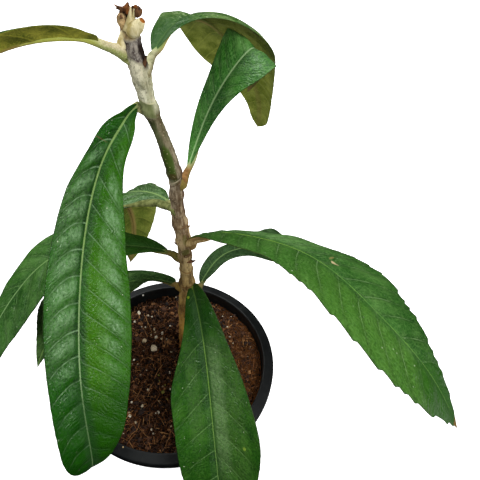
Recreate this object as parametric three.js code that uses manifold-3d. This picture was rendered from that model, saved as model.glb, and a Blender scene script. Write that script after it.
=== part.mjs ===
// Potted loquat sapling: nursery pot, growing mix, one woody stem and ten leaves.
// Millimetres, +Z up. Origin: centre of the pot's underside, on the surface it stands on.
import * as THREE from 'three';
import * as BufferGeometryUtils from 'three/addons/utils/BufferGeometryUtils.js';
import Module from 'manifold-3d';

const wasm = await Module();
wasm.setup();

// ---------------------------------------------------------------- driving dimensions
const POT_HEIGHT = 110;          // underside to the top of the lip
const LIP_RADIUS = 82.5;         // 165 mm across the lip, a 6.5 inch pot
const LIP_INNER_RADIUS = 74;
const LIP_SKIRT = 9;             // height of the lip's outer skirt
const LIP_SLOPE = 2.2;           // the lip's top face falls outwards by this much
const WALL = 2.0;
const BODY_TOP_RADIUS = 76;      // outer wall under the lip
const BASE_RADIUS = 46;          // outer wall at the underside
const FLOOR = 3;
const SOIL_LEVEL = 99;           // growing mix at the wall
const SOIL_CROWN = 2;            // it rises this much at the stem
const DRAIN_HOLES = 6;
const DRAIN_RADIUS = 5;
const DRAIN_PITCH_RADIUS = 32;
const GAP = 0.3;                 // clearance between touching pieces
const LEAF_THICKNESS = 1.1;
const SECTORS = 48;

// stem: centre line and radius, from its buried foot to the broken top
const STEM = [
  // x, y, z, radius
  [10.0, 21.7, 66, 3.6],
  [9.6, 21.7, 84, 5.2],
  [10.0, 21.7, 97, 6.3],
  [10.3, 21.7, 106, 5.9],
  [11.0, 21.7, 121, 5.3],
  [11.4, 21.7, 143, 4.9],
  [13.0, 21.7, 166, 4.9],
  [16.0, 21.7, 191, 5.2],
  [16.5, 21.7, 206, 4.5],
  [16.6, 21.7, 222, 4.4],
  [16.6, 21.7, 238, 4.7],
  [15.4, 21.7, 256, 4.8],
  [15.0, 21.7, 266, 4.5],
  [15.0, 21.7, 277, 3.9],
  [15.3, 21.7, 297, 4.3],
  [12.6, 21.7, 315, 4.1],
  [10.2, 21.7, 327, 3.7],
  [7.9, 21.7, 337, 3.7],
  [6.3, 21.7, 345, 4.6],
  [5.0, 21.7, 353, 4.3],
  [4.4, 21.7, 359, 4.4],
  [3.8, 21.7, 366, 5.2],
  [2.9, 21.7, 373, 5.2],
  [1.9, 21.7, 380, 4.7],
  [1.7, 21.7, 387, 4.3],
  [1.9, 21.7, 391, 3.2],
];
// broken and cut shoots that crown the stem: start, end, start radius, end radius
const CROWN = [
  [[1.9, 21.2, 385], [8.0, 19.6, 397.6], 4.1, 2.0],
  [[1.2, 22.4, 386], [2.8, 22.8, 402.8], 2.2, 0.8],
  [[-0.7, 22.2, 385], [-1.7, 22.2, 400.0], 2.2, 1.9],
];
const BUD = [[4.2, 20.5, 371], [7.0, 19.6, 377.5], 1.8, 0.5];

// leaves: petiole thickness at the stem and at the blade, then stations from stem to tip:
// midrib x, y, z | direction of the upper face | half-width left, right | fold, curl left, curl right (radians)
const LEAVES = {
  leaf_top_left: { petiole: [3.3, 2.5], stations: [
    [-2.3, 21.7, 378.8, 0.426, 0.533, 0.731, 0.0, 0.0, 1.10, 0.51, 0.32],
    [-8.0, 12.7, 388.4, 0.396, 0.488, 0.777, 0.0, 0.0, 1.10, 0.51, 0.32],
    [-14.4, 5.7, 395.1, 0.319, 0.409, 0.855, 4.7, 2.8, 1.10, 0.52, 0.32],
    [-23.6, -1.4, 400.4, 0.161, 0.298, 0.941, 10.2, 5.6, 1.10, 0.52, 0.32],
    [-36.3, -7.9, 402.5, -0.080, 0.178, 0.981, 12.7, 7.0, 1.10, 0.52, 0.32],
    [-49.9, -13.5, 400.5, -0.293, 0.092, 0.952, 14.5, 8.5, 1.10, 0.52, 0.31],
    [-64.0, -18.4, 394.9, -0.468, 0.033, 0.883, 16.8, 11.2, 1.10, 0.52, 0.31],
    [-77.2, -21.8, 386.8, -0.571, 0.008, 0.821, 19.6, 15.1, 1.10, 0.52, 0.31],
    [-90.1, -23.6, 377.0, -0.638, 0.001, 0.770, 21.5, 18.7, 1.11, 0.52, 0.31],
    [-103.4, -23.4, 365.1, -0.683, 0.005, 0.731, 20.8, 19.3, 1.12, 0.52, 0.31],
    [-116.5, -21.0, 352.4, -0.711, 0.014, 0.703, 17.5, 16.8, 1.12, 0.51, 0.31],
    [-128.3, -16.2, 340.0, -0.730, 0.025, 0.683, 13.1, 12.9, 1.13, 0.51, 0.30],
    [-140.3, -8.8, 326.5, -0.742, 0.036, 0.669, 8.0, 7.9, 1.13, 0.51, 0.30],
    [-149.7, -1.5, 315.6, -0.747, 0.042, 0.664, 3.4, 3.4, 1.14, 0.51, 0.30],
    [-154.8, 2.9, 309.5, -0.748, 0.044, 0.663, 0.0, 0.0, 1.14, 0.50, 0.30],
  ] },
  leaf_top_right: { petiole: [2.7, 2.2], stations: [
    [6.3, 21.7, 368.7, -0.524, 0.086, 0.847, 0.0, 0.0, 0.39, 0.40, 0.74],
    [7.4, 35.6, 367.9, -0.506, 0.101, 0.857, 0.0, 0.0, 0.39, 0.39, 0.78],
    [9.2, 48.2, 367.2, -0.483, 0.137, 0.865, 3.9, 3.6, 0.38, 0.40, 0.82],
    [12.5, 62.4, 366.5, -0.434, 0.197, 0.879, 9.7, 9.0, 0.37, 0.40, 0.87],
    [18.2, 76.6, 365.3, -0.294, 0.329, 0.897, 15.7, 15.9, 0.36, 0.41, 0.93],
    [25.3, 88.8, 361.1, -0.040, 0.523, 0.851, 22.8, 27.8, 0.34, 0.43, 0.99],
    [33.1, 99.8, 351.8, 0.168, 0.663, 0.729, 30.4, 42.5, 0.32, 0.45, 1.05],
    [40.5, 109.2, 338.9, 0.281, 0.747, 0.602, 35.0, 45.8, 0.30, 0.49, 1.10],
    [47.4, 116.6, 324.3, 0.336, 0.788, 0.516, 36.5, 39.6, 0.28, 0.52, 1.14],
    [54.6, 124.3, 306.8, 0.355, 0.796, 0.490, 34.2, 30.8, 0.26, 0.56, 1.17],
    [61.6, 132.6, 287.9, 0.366, 0.805, 0.468, 25.6, 22.2, 0.24, 0.59, 1.18],
    [66.4, 140.8, 269.1, 0.377, 0.826, 0.419, 16.4, 15.9, 0.23, 0.62, 1.19],
    [68.6, 149.6, 248.2, 0.381, 0.846, 0.372, 9.4, 10.8, 0.22, 0.64, 1.19],
    [68.6, 156.6, 230.9, 0.381, 0.860, 0.338, 5.5, 7.2, 0.21, 0.65, 1.19],
    [68.0, 160.5, 221.1, 0.380, 0.867, 0.323, 0.0, 0.0, 0.21, 0.66, 1.19],
  ] },
  leaf_upper_right: { petiole: [2.9, 2.4], stations: [
    [18.9, 21.7, 288.7, -0.518, 0.155, 0.841, 0.0, 0.0, 0.26, 0.41, 0.12],
    [20.6, 34.2, 287.5, -0.532, 0.043, 0.845, 0.0, 0.0, 0.25, 0.42, 0.13],
    [22.8, 43.0, 290.0, -0.618, -0.242, 0.748, 2.8, 2.6, 0.25, 0.42, 0.15],
    [26.1, 50.7, 297.3, -0.710, -0.411, 0.572, 6.7, 6.2, 0.24, 0.42, 0.16],
    [31.0, 56.3, 309.8, -0.741, -0.464, 0.485, 9.9, 9.1, 0.23, 0.42, 0.19],
    [37.1, 60.0, 323.0, -0.717, -0.461, 0.523, 12.6, 12.0, 0.22, 0.42, 0.22],
    [43.9, 63.9, 334.2, -0.650, -0.452, 0.611, 15.6, 15.5, 0.21, 0.42, 0.26],
    [50.3, 67.5, 342.6, -0.584, -0.450, 0.675, 19.0, 19.1, 0.20, 0.42, 0.30],
    [55.8, 70.1, 348.6, -0.440, -0.415, 0.796, 21.6, 21.0, 0.19, 0.42, 0.34],
    [60.1, 72.9, 350.8, 0.146, -0.063, 0.987, 21.5, 19.8, 0.18, 0.41, 0.37],
    [62.7, 76.3, 348.0, 0.681, 0.496, 0.539, 17.8, 16.0, 0.17, 0.41, 0.41],
    [63.2, 80.3, 340.1, 0.733, 0.638, 0.235, 12.6, 11.5, 0.16, 0.40, 0.43],
    [61.9, 85.0, 327.1, 0.736, 0.665, 0.127, 7.2, 6.8, 0.16, 0.40, 0.45],
    [59.9, 88.9, 314.3, 0.737, 0.671, 0.080, 3.0, 2.9, 0.15, 0.40, 0.46],
    [58.4, 91.2, 306.5, 0.737, 0.673, 0.061, 0.0, 0.0, 0.15, 0.40, 0.46],
  ] },
  leaf_mid_left: { petiole: [2.6, 2.0], stations: [
    [14.2, 21.7, 265.5, -0.035, 0.298, 0.954, 0.0, 0.0, 0.12, 0.50, 0.41],
    [9.2, 32.3, 262.0, -0.037, 0.307, 0.951, 0.0, 0.0, 0.12, 0.50, 0.41],
    [3.9, 40.1, 259.2, -0.048, 0.326, 0.944, 4.5, 3.4, 0.12, 0.50, 0.41],
    [-3.2, 47.3, 256.1, -0.081, 0.362, 0.929, 12.8, 8.8, 0.12, 0.49, 0.41],
    [-12.3, 53.0, 252.5, -0.168, 0.421, 0.892, 21.8, 14.1, 0.12, 0.48, 0.41],
    [-20.6, 57.2, 248.0, -0.299, 0.499, 0.813, 28.6, 18.7, 0.13, 0.47, 0.41],
    [-27.1, 61.2, 241.9, -0.435, 0.602, 0.669, 32.0, 22.8, 0.14, 0.45, 0.40],
    [-30.5, 65.0, 234.8, -0.503, 0.709, 0.495, 32.3, 25.9, 0.15, 0.43, 0.40],
    [-31.2, 69.1, 226.3, -0.504, 0.802, 0.320, 30.2, 26.5, 0.16, 0.41, 0.40],
    [-30.2, 72.6, 215.8, -0.481, 0.862, 0.159, 26.2, 24.1, 0.17, 0.39, 0.40],
    [-29.1, 74.4, 203.8, -0.463, 0.887, 0.014, 20.8, 20.6, 0.18, 0.37, 0.39],
    [-29.2, 73.7, 191.3, -0.459, 0.882, -0.102, 15.3, 16.7, 0.19, 0.35, 0.39],
    [-30.9, 70.5, 177.1, -0.463, 0.869, -0.176, 9.2, 11.0, 0.19, 0.34, 0.40],
    [-33.2, 66.6, 165.3, -0.465, 0.861, -0.206, 3.9, 4.9, 0.20, 0.33, 0.40],
    [-34.8, 64.0, 158.6, -0.464, 0.859, -0.214, 0.0, 0.0, 0.20, 0.33, 0.40],
  ] },
  leaf_front_left: { petiole: [2.6, 2.0], stations: [
    [-0.1, 21.7, 345.1, -0.692, -0.603, 0.397, 0.0, 0.0, 0.27, 0.27, 0.22],
    [0.3, 22.4, 347.6, -0.278, -0.960, -0.023, 0.0, 0.0, 0.27, 0.27, 0.22],
    [-1.7, 20.7, 347.3, 0.689, -0.724, 0.026, 3.2, 3.2, 0.27, 0.26, 0.23],
    [-6.7, 15.3, 343.4, 0.725, -0.684, 0.076, 8.0, 8.4, 0.26, 0.26, 0.23],
    [-15.1, 4.3, 333.9, 0.759, -0.632, 0.159, 13.0, 13.9, 0.26, 0.26, 0.23],
    [-22.6, -10.7, 320.0, 0.784, -0.558, 0.272, 18.6, 18.7, 0.26, 0.26, 0.24],
    [-27.7, -28.8, 302.5, 0.776, -0.516, 0.363, 24.7, 22.2, 0.26, 0.25, 0.24],
    [-30.6, -47.7, 283.6, 0.752, -0.511, 0.417, 29.4, 23.3, 0.25, 0.25, 0.25],
    [-32.0, -66.4, 263.8, 0.721, -0.530, 0.447, 31.6, 22.3, 0.25, 0.25, 0.25],
    [-32.0, -84.2, 242.3, 0.687, -0.568, 0.453, 30.2, 20.1, 0.24, 0.24, 0.26],
    [-30.7, -98.4, 220.7, 0.663, -0.650, 0.371, 25.5, 19.0, 0.23, 0.24, 0.27],
    [-30.5, -105.8, 201.4, 0.643, -0.755, 0.126, 19.3, 17.5, 0.22, 0.24, 0.28],
    [-32.7, -107.0, 182.1, 0.592, -0.786, -0.179, 11.7, 12.0, 0.21, 0.24, 0.28],
    [-36.1, -104.3, 167.6, 0.543, -0.767, -0.341, 4.9, 5.0, 0.21, 0.24, 0.29],
    [-38.5, -101.7, 159.7, 0.524, -0.761, -0.383, 0.0, 0.0, 0.20, 0.24, 0.29],
  ] },
  leaf_low_left: { petiole: [2.4, 1.9], stations: [
    [11.4, 21.7, 218.6, -0.014, 0.330, 0.944, 0.0, 0.0, 0.26, 0.24, 0.26],
    [6.1, 27.8, 216.4, 0.011, 0.313, 0.950, 0.0, 0.0, 0.25, 0.24, 0.26],
    [-0.8, 31.6, 215.4, 0.051, 0.301, 0.952, 3.7, 3.9, 0.25, 0.24, 0.26],
    [-11.6, 34.1, 215.5, 0.081, 0.296, 0.952, 9.5, 9.4, 0.24, 0.24, 0.26],
    [-27.3, 34.3, 216.9, 0.091, 0.292, 0.952, 15.1, 14.7, 0.23, 0.25, 0.26],
    [-43.6, 32.8, 218.7, 0.054, 0.280, 0.958, 20.4, 21.1, 0.21, 0.25, 0.27],
    [-59.5, 29.6, 219.6, -0.082, 0.238, 0.968, 24.9, 26.2, 0.20, 0.26, 0.27],
    [-73.6, 24.1, 217.9, -0.301, 0.131, 0.945, 27.7, 25.1, 0.18, 0.26, 0.28],
    [-86.5, 15.6, 212.9, -0.472, -0.003, 0.882, 29.8, 20.9, 0.16, 0.27, 0.28],
    [-99.0, 3.4, 204.4, -0.551, -0.104, 0.828, 30.7, 16.7, 0.14, 0.28, 0.29],
    [-110.4, -11.3, 193.7, -0.596, -0.190, 0.780, 27.8, 13.6, 0.12, 0.29, 0.29],
    [-118.9, -27.0, 181.8, -0.630, -0.286, 0.722, 20.9, 11.0, 0.11, 0.29, 0.29],
    [-125.2, -45.0, 167.5, -0.645, -0.365, 0.671, 11.7, 7.2, 0.09, 0.30, 0.29],
    [-128.8, -59.9, 155.2, -0.646, -0.404, 0.648, 4.4, 3.2, 0.09, 0.30, 0.30],
    [-130.3, -68.5, 148.0, -0.644, -0.415, 0.642, 0.0, 0.0, 0.08, 0.31, 0.30],
  ] },
  leaf_front: { petiole: [2.4, 1.9], stations: [
    [18.5, 21.7, 184.2, -0.705, 0.709, 0.017, 0.0, 0.0, 0.26, 0.24, 0.26],
    [18.7, 21.1, 189.2, -0.720, 0.526, 0.452, 0.0, 0.0, 0.26, 0.24, 0.26],
    [19.9, 17.0, 191.6, -0.642, 0.025, 0.766, 3.7, 3.3, 0.25, 0.24, 0.26],
    [22.5, 7.5, 191.6, -0.574, -0.243, 0.782, 9.3, 8.0, 0.25, 0.24, 0.26],
    [26.6, -9.1, 187.9, -0.541, -0.337, 0.771, 15.0, 13.2, 0.25, 0.24, 0.26],
    [30.4, -28.2, 181.9, -0.522, -0.363, 0.771, 20.5, 19.9, 0.25, 0.25, 0.25],
    [33.6, -47.8, 174.3, -0.501, -0.404, 0.766, 26.7, 26.9, 0.25, 0.25, 0.25],
    [36.1, -65.7, 165.7, -0.477, -0.462, 0.747, 32.9, 29.1, 0.25, 0.25, 0.25],
    [38.4, -81.9, 156.1, -0.450, -0.546, 0.707, 35.9, 28.6, 0.25, 0.25, 0.25],
    [40.6, -96.6, 144.5, -0.421, -0.650, 0.633, 32.1, 27.2, 0.25, 0.26, 0.25],
    [42.3, -108.1, 131.5, -0.392, -0.788, 0.474, 24.0, 23.3, 0.25, 0.26, 0.24],
    [43.4, -114.2, 117.8, -0.371, -0.909, 0.188, 16.2, 17.4, 0.25, 0.26, 0.24],
    [44.1, -115.3, 101.7, -0.359, -0.930, -0.078, 9.2, 10.2, 0.25, 0.26, 0.24],
    [44.5, -113.2, 88.1, -0.353, -0.915, -0.197, 3.8, 4.2, 0.25, 0.26, 0.24],
    [44.7, -111.1, 80.2, -0.350, -0.909, -0.227, 0.0, 0.0, 0.25, 0.26, 0.24],
  ] },
  leaf_long_right: { petiole: [2.6, 2.1], stations: [
    [21.9, 21.7, 231.8, -0.370, 0.808, 0.458, 0.0, 0.0, 0.11, 0.27, 0.31],
    [26.1, 12.7, 250.4, -0.328, 0.791, 0.516, 0.0, 0.0, 0.11, 0.28, 0.30],
    [31.9, 4.7, 264.6, -0.262, 0.749, 0.608, 3.7, 5.5, 0.11, 0.28, 0.30],
    [41.5, -4.9, 278.0, -0.156, 0.688, 0.709, 8.6, 14.3, 0.11, 0.29, 0.29],
    [55.5, -16.2, 289.4, -0.036, 0.629, 0.777, 12.5, 20.5, 0.11, 0.30, 0.29],
    [70.0, -27.5, 298.2, 0.035, 0.601, 0.799, 16.4, 22.8, 0.11, 0.30, 0.28],
    [83.8, -39.6, 305.3, 0.137, 0.532, 0.836, 21.7, 23.8, 0.11, 0.30, 0.28],
    [96.1, -52.1, 309.4, 0.266, 0.410, 0.873, 27.9, 25.9, 0.12, 0.30, 0.28],
    [107.5, -65.8, 310.5, 0.377, 0.280, 0.883, 30.8, 27.9, 0.12, 0.30, 0.28],
    [119.3, -80.2, 308.6, 0.453, 0.182, 0.873, 26.9, 28.0, 0.12, 0.30, 0.28],
    [131.1, -93.2, 304.0, 0.541, 0.078, 0.838, 20.1, 27.4, 0.11, 0.30, 0.29],
    [141.2, -103.2, 296.6, 0.674, -0.058, 0.736, 14.0, 23.6, 0.10, 0.30, 0.29],
    [150.0, -111.3, 285.5, 0.785, -0.166, 0.597, 7.9, 12.7, 0.09, 0.30, 0.30],
    [156.0, -116.4, 274.9, 0.831, -0.213, 0.514, 3.2, 4.0, 0.08, 0.30, 0.30],
    [158.9, -118.8, 268.4, 0.841, -0.226, 0.491, 0.0, 0.0, 0.08, 0.30, 0.30],
  ] },
  leaf_back_right: { petiole: [2.2, 1.7], stations: [
    [24.3, 21.7, 183.1, -0.240, 0.554, 0.797, 0.0, 0.0, 0.21, 0.29, 0.24],
    [24.9, 26.8, 179.9, -0.248, 0.447, 0.860, 0.0, 0.0, 0.20, 0.29, 0.24],
    [26.3, 32.9, 177.8, -0.268, 0.317, 0.910, 3.0, 3.3, 0.20, 0.29, 0.24],
    [29.3, 41.8, 176.2, -0.273, 0.241, 0.931, 6.7, 7.1, 0.20, 0.29, 0.25],
    [34.9, 53.3, 174.9, -0.223, 0.262, 0.939, 8.8, 9.5, 0.19, 0.28, 0.25],
    [42.7, 63.3, 172.7, -0.075, 0.370, 0.926, 9.7, 12.4, 0.19, 0.28, 0.26],
    [52.7, 70.9, 169.3, 0.073, 0.415, 0.907, 10.8, 17.5, 0.18, 0.27, 0.26],
    [63.3, 76.4, 165.5, 0.142, 0.387, 0.911, 13.0, 24.7, 0.18, 0.26, 0.27],
    [74.2, 81.4, 161.5, 0.202, 0.349, 0.915, 16.2, 29.8, 0.18, 0.25, 0.27],
    [84.9, 86.1, 156.8, 0.300, 0.326, 0.896, 19.4, 27.7, 0.19, 0.24, 0.28],
    [94.1, 90.5, 151.2, 0.492, 0.370, 0.788, 20.3, 21.4, 0.19, 0.23, 0.28],
    [99.1, 94.1, 144.2, 0.719, 0.521, 0.459, 17.5, 15.1, 0.20, 0.22, 0.28],
    [100.0, 97.2, 134.7, 0.768, 0.633, 0.095, 10.8, 8.6, 0.21, 0.21, 0.28],
    [98.2, 99.2, 126.0, 0.750, 0.659, -0.061, 4.3, 3.5, 0.21, 0.20, 0.28],
    [96.4, 100.3, 120.8, 0.745, 0.660, -0.101, 0.0, 0.0, 0.21, 0.20, 0.28],
  ] },
  leaf_lowest_left: { petiole: [2.3, 1.8], stations: [
    [10.4, 21.7, 184.1, -0.080, 0.745, 0.662, 0.0, 0.0, 0.24, 0.24, 0.26],
    [5.8, 33.6, 170.3, -0.077, 0.728, 0.681, 0.0, 0.0, 0.24, 0.24, 0.26],
    [0.8, 42.3, 160.9, -0.060, 0.695, 0.717, 3.8, 3.7, 0.24, 0.24, 0.26],
    [-6.1, 49.6, 153.9, -0.012, 0.650, 0.760, 9.9, 9.4, 0.24, 0.24, 0.26],
    [-15.5, 53.6, 151.0, 0.019, 0.631, 0.776, 15.6, 14.7, 0.23, 0.25, 0.27],
    [-25.8, 52.8, 151.2, -0.077, 0.608, 0.790, 20.6, 18.9, 0.23, 0.25, 0.26],
    [-36.4, 47.7, 153.6, -0.106, 0.579, 0.808, 25.1, 22.8, 0.23, 0.25, 0.26],
    [-46.2, 39.8, 158.1, -0.071, 0.586, 0.807, 28.5, 26.3, 0.23, 0.25, 0.26],
    [-55.2, 30.2, 164.6, -0.041, 0.589, 0.807, 29.2, 28.5, 0.23, 0.26, 0.26],
    [-62.9, 18.2, 172.8, -0.028, 0.568, 0.822, 25.9, 27.4, 0.23, 0.26, 0.26],
    [-68.6, 4.4, 181.6, -0.031, 0.502, 0.865, 20.0, 21.8, 0.23, 0.26, 0.25],
    [-71.7, -10.8, 189.2, -0.033, 0.397, 0.917, 14.0, 14.7, 0.23, 0.26, 0.25],
    [-72.9, -29.2, 196.0, -0.026, 0.307, 0.951, 8.0, 7.9, 0.24, 0.26, 0.25],
    [-72.9, -45.2, 200.7, -0.017, 0.265, 0.964, 3.3, 3.0, 0.24, 0.26, 0.25],
    [-72.6, -54.5, 203.1, -0.013, 0.254, 0.967, 0.0, 0.0, 0.24, 0.26, 0.24],
  ] },
};

// ---------------------------------------------------------------- helpers
const v3 = (a) => new THREE.Vector3(a[0], a[1], a[2]);

function toSolid(geometry) {
  let g = geometry.clone();
  for (const name of Object.keys(g.attributes)) if (name !== 'position') g.deleteAttribute(name);
  g = BufferGeometryUtils.mergeVertices(g, 1e-4);
  return new wasm.Manifold(new wasm.Mesh({
    numProp: 3,
    vertProperties: new Float32Array(g.attributes.position.array),
    triVerts: new Uint32Array(g.index.array),
  }));
}

function toGeometry(solid) {
  const m = solid.getMesh();
  const g = new THREE.BufferGeometry();
  g.setAttribute('position', new THREE.BufferAttribute(new Float32Array(m.vertProperties), 3));
  g.setIndex(new THREE.BufferAttribute(new Uint32Array(m.triVerts), 1));
  g.computeVertexNormals();
  return g;
}

// closed loft through rings of equal point count, capped by fans
function loft(rings) {
  const n = rings[0].length;
  const pos = [];
  const idx = [];
  for (const ring of rings) for (const p of ring) pos.push(p.x, p.y, p.z);
  for (let i = 0; i + 1 < rings.length; i++) {
    for (let j = 0; j < n; j++) {
      const a = i * n + j;
      const b = i * n + (j + 1) % n;
      idx.push(a, b, b + n, a, b + n, a + n);
    }
  }
  for (const [row, flip] of [[0, true], [rings.length - 1, false]]) {
    const c = new THREE.Vector3();
    for (const p of rings[row]) c.add(p);
    c.divideScalar(n);
    const k = pos.length / 3;
    pos.push(c.x, c.y, c.z);
    for (let j = 0; j < n; j++) {
      const a = row * n + j;
      const b = row * n + (j + 1) % n;
      if (flip) idx.push(k, b, a); else idx.push(k, a, b);
    }
  }
  const g = new THREE.BufferGeometry();
  g.setAttribute('position', new THREE.Float32BufferAttribute(pos, 3));
  g.setIndex(idx);
  return g;
}

// round rod of varying radius along a polyline
function rod(points, radii, sides) {
  const rings = [];
  let u = new THREE.Vector3(1, 0, 0);
  for (let i = 0; i < points.length; i++) {
    const t = points[Math.min(i + 1, points.length - 1)].clone().sub(points[Math.max(i - 1, 0)]).normalize();
    u = u.clone().addScaledVector(t, -u.dot(t)).normalize();
    const w = t.clone().cross(u);
    const ring = [];
    for (let k = 0; k < sides; k++) {
      const a = 2 * Math.PI * k / sides;
      ring.push(points[i].clone().addScaledVector(u, radii[i] * Math.cos(a)).addScaledVector(w, radii[i] * Math.sin(a)));
    }
    rings.push(ring);
  }
  return loft(rings);
}

function solidOf(geometry) {
  const s = toSolid(geometry);
  return s;
}

// ---------------------------------------------------------------- pot
function potGeometry() {
  const h = POT_HEIGHT;
  const profile = [
    [0, 0], [BASE_RADIUS - 2, 0], [BASE_RADIUS, 2],
    [BODY_TOP_RADIUS, h - LIP_SKIRT - 1], [BODY_TOP_RADIUS + 0.4, h - 3.6],
    [LIP_RADIUS - 1.6, h - 4.4], [LIP_RADIUS - 1.6, h - LIP_SKIRT], [LIP_RADIUS - 0.2, h - LIP_SKIRT],
    [LIP_RADIUS, h - LIP_SLOPE - 0.6], [LIP_RADIUS - 0.8, h - LIP_SLOPE + 0.2],
    [LIP_INNER_RADIUS + 1.2, h], [LIP_INNER_RADIUS, h - 0.7],
    [LIP_INNER_RADIUS - 0.4, h - LIP_SKIRT - 1], [BASE_RADIUS - WALL, FLOOR + 1], [BASE_RADIUS - WALL - 1, FLOOR], [0, FLOOR],
  ].map(([r, z]) => new THREE.Vector2(r, z));
  const g = new THREE.LatheGeometry(profile, SECTORS);
  g.rotateX(Math.PI / 2);
  let pot = toSolid(g);
  for (let i = 0; i < DRAIN_HOLES; i++) {
    const a = 2 * Math.PI * (i + 0.5) / DRAIN_HOLES;
    const hole = new THREE.CylinderGeometry(DRAIN_RADIUS, DRAIN_RADIUS, 12, 16);
    hole.rotateX(Math.PI / 2);
    hole.translate(DRAIN_PITCH_RADIUS * Math.cos(a), DRAIN_PITCH_RADIUS * Math.sin(a), FLOOR / 2);
    pot = pot.subtract(toSolid(hole));
  }
  return toGeometry(pot);
}

// ---------------------------------------------------------------- stem
const stemPoints = STEM.map(v3);
const stemRadii = STEM.map((s) => s[3]);

function stemSolid(grow) {
  let s = solidOf(rod(stemPoints, stemRadii.map((r) => r + grow), 12));
  for (const [a, b, ra, rb] of [...CROWN, BUD]) {
    s = s.add(solidOf(rod([v3(a), v3(a).lerp(v3(b), 0.5), v3(b)], [ra + grow, (ra + rb) / 2 + grow, rb + grow], 8)));
  }
  return s;
}

// ---------------------------------------------------------------- growing mix
function soilGeometry() {
  const inner = (z) => {
    const z0 = FLOOR + 1;
    const z1 = POT_HEIGHT - LIP_SKIRT - 1;
    const r0 = BASE_RADIUS - WALL;
    const r1 = LIP_INNER_RADIUS - 0.4;
    return r0 + (r1 - r0) * Math.min(1, Math.max(0, (z - z0) / (z1 - z0)));
  };
  const gap = GAP + 0.1;
  const profile = [
    [0, FLOOR + GAP], [BASE_RADIUS - WALL - 1.6, FLOOR + GAP],
    [inner(FLOOR + 2) - gap, FLOOR + 2], [inner(SOIL_LEVEL) - gap, SOIL_LEVEL],
    [LIP_INNER_RADIUS * 0.8, SOIL_LEVEL + SOIL_CROWN * 0.4], [LIP_INNER_RADIUS * 0.45, SOIL_LEVEL + SOIL_CROWN * 0.8],
    [0, SOIL_LEVEL + SOIL_CROWN],
  ].map(([r, z]) => new THREE.Vector2(r, z));
  const g = new THREE.LatheGeometry(profile, SECTORS);
  g.rotateX(Math.PI / 2);
  return toGeometry(toSolid(g).subtract(stemSolid(GAP)));
}

// ---------------------------------------------------------------- leaves
// ring of ten points round the blade: five over the upper face, five under it
function leafGeometry({ petiole, stations }) {
  const first = stations[0];
  // the petiole starts on the stem's centre line, a little below where it leaves the bark
  let foot = stemPoints[0];
  for (let z = first[2] - 4, i = 0; i + 1 < stemPoints.length; i++) {
    const a = stemPoints[i];
    const b = stemPoints[i + 1];
    if (z >= a.z && z <= b.z) foot = a.clone().lerp(b, (z - a.z) / (b.z - a.z));
  }
  const rows = stations.map((s) => ({
    p: v3(s), n: new THREE.Vector3(s[3], s[4], s[5]), l: s[6], r: s[7], fold: s[8], cl: s[9], cr: s[10],
  }));
  rows.unshift({ ...rows[0], p: foot, n: rows[0].n.clone() });
  // start outside the stem's axis when the first station already lies off it
  const rings = [];
  const last = rows.length - 1;
  rows.forEach((q, i) => {
    const t = rows[Math.min(i + 1, last)].p.clone().sub(rows[Math.max(i - 1, 0)].p).normalize();
    const n = q.n.clone().addScaledVector(t, -q.n.dot(t)).normalize();
    const b = t.clone().cross(n);
    const pr = THREE.MathUtils.lerp(petiole[0], petiole[1], Math.min(1, i / 3));
    const keel = Math.max(0.55, pr * (1 - i / last) * 0.9);
    const half = LEAF_THICKNESS / 2;
    const line = [];
    for (const [side, w, curl] of [[-1, q.l, q.cl], [1, q.r, q.cr]]) {
      const width = Math.max(w, i < 3 ? 0 : 0.9);
      let p = q.p.clone();
      const pts = [];
      let up = n.clone();
      for (let k = 1; k <= 2; k++) {
        const a = q.fold - curl * (k - 0.5) / 2;
        const dir = b.clone().multiplyScalar(side * Math.cos(a)).addScaledVector(n, Math.sin(a));
        up = n.clone().multiplyScalar(Math.cos(a)).addScaledVector(b, -side * Math.sin(a));
        p = p.clone().addScaledVector(dir, width / 2);
        pts.push({ p, up });
      }
      line.push(pts);
    }
    let ring;
    if (i < 3) {
      ring = [];
      for (let k = 0; k < 10; k++) {
        const a = Math.PI - 2 * Math.PI * k / 10;
        ring.push(q.p.clone().addScaledVector(b, pr * Math.cos(a)).addScaledVector(n, pr * Math.sin(a) * 0.9));
      }
    } else {
      const edge = (e, s) => e.p.clone().addScaledVector(e.up, s * half * 0.7);
      const mid = (e, s) => e.p.clone().addScaledVector(e.up, s * half);
      ring = [
        edge(line[0][1], 1), mid(line[0][0], 1), q.p.clone().addScaledVector(n, half), mid(line[1][0], 1), edge(line[1][1], 1),
        edge(line[1][1], -1), mid(line[1][0], -1), q.p.clone().addScaledVector(n, -half - keel), mid(line[0][0], -1), edge(line[0][1], -1),
      ];
    }
    rings.push(ring);
  });
  return loft(rings);
}

// ---------------------------------------------------------------- assembly
const group = new THREE.Group();

function add(name, geometry, colour, roughness) {
  geometry.computeVertexNormals();
  const material = new THREE.MeshStandardMaterial({ color: colour, roughness, metalness: 0 });
  const mesh = new THREE.Mesh(geometry, material);
  mesh.name = name;
  group.add(mesh);
}

add('pot', potGeometry(), 0x252b2b, 0.55);
add('soil', soilGeometry(), 0x3d2415, 0.98);
add('stem', toGeometry(stemSolid(0)), 0x8a7450, 0.85);

const clearStem = stemSolid(GAP);
for (const [name, leaf] of Object.entries(LEAVES)) {
  let body = toSolid(leafGeometry(leaf)).subtract(clearStem);
  // keep the blade side of the cut
  const parts = body.decompose().sort((a, b) => b.volume() - a.volume());
  body = parts[0];
  add(name, toGeometry(body), 0x2c5a24, 0.45);
}

export default group;
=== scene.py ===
# Looks of the potted loquat sapling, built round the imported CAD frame. Metres, +Z up.
import math
import bpy
import numpy as np
from mathutils import Matrix, Vector


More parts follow.
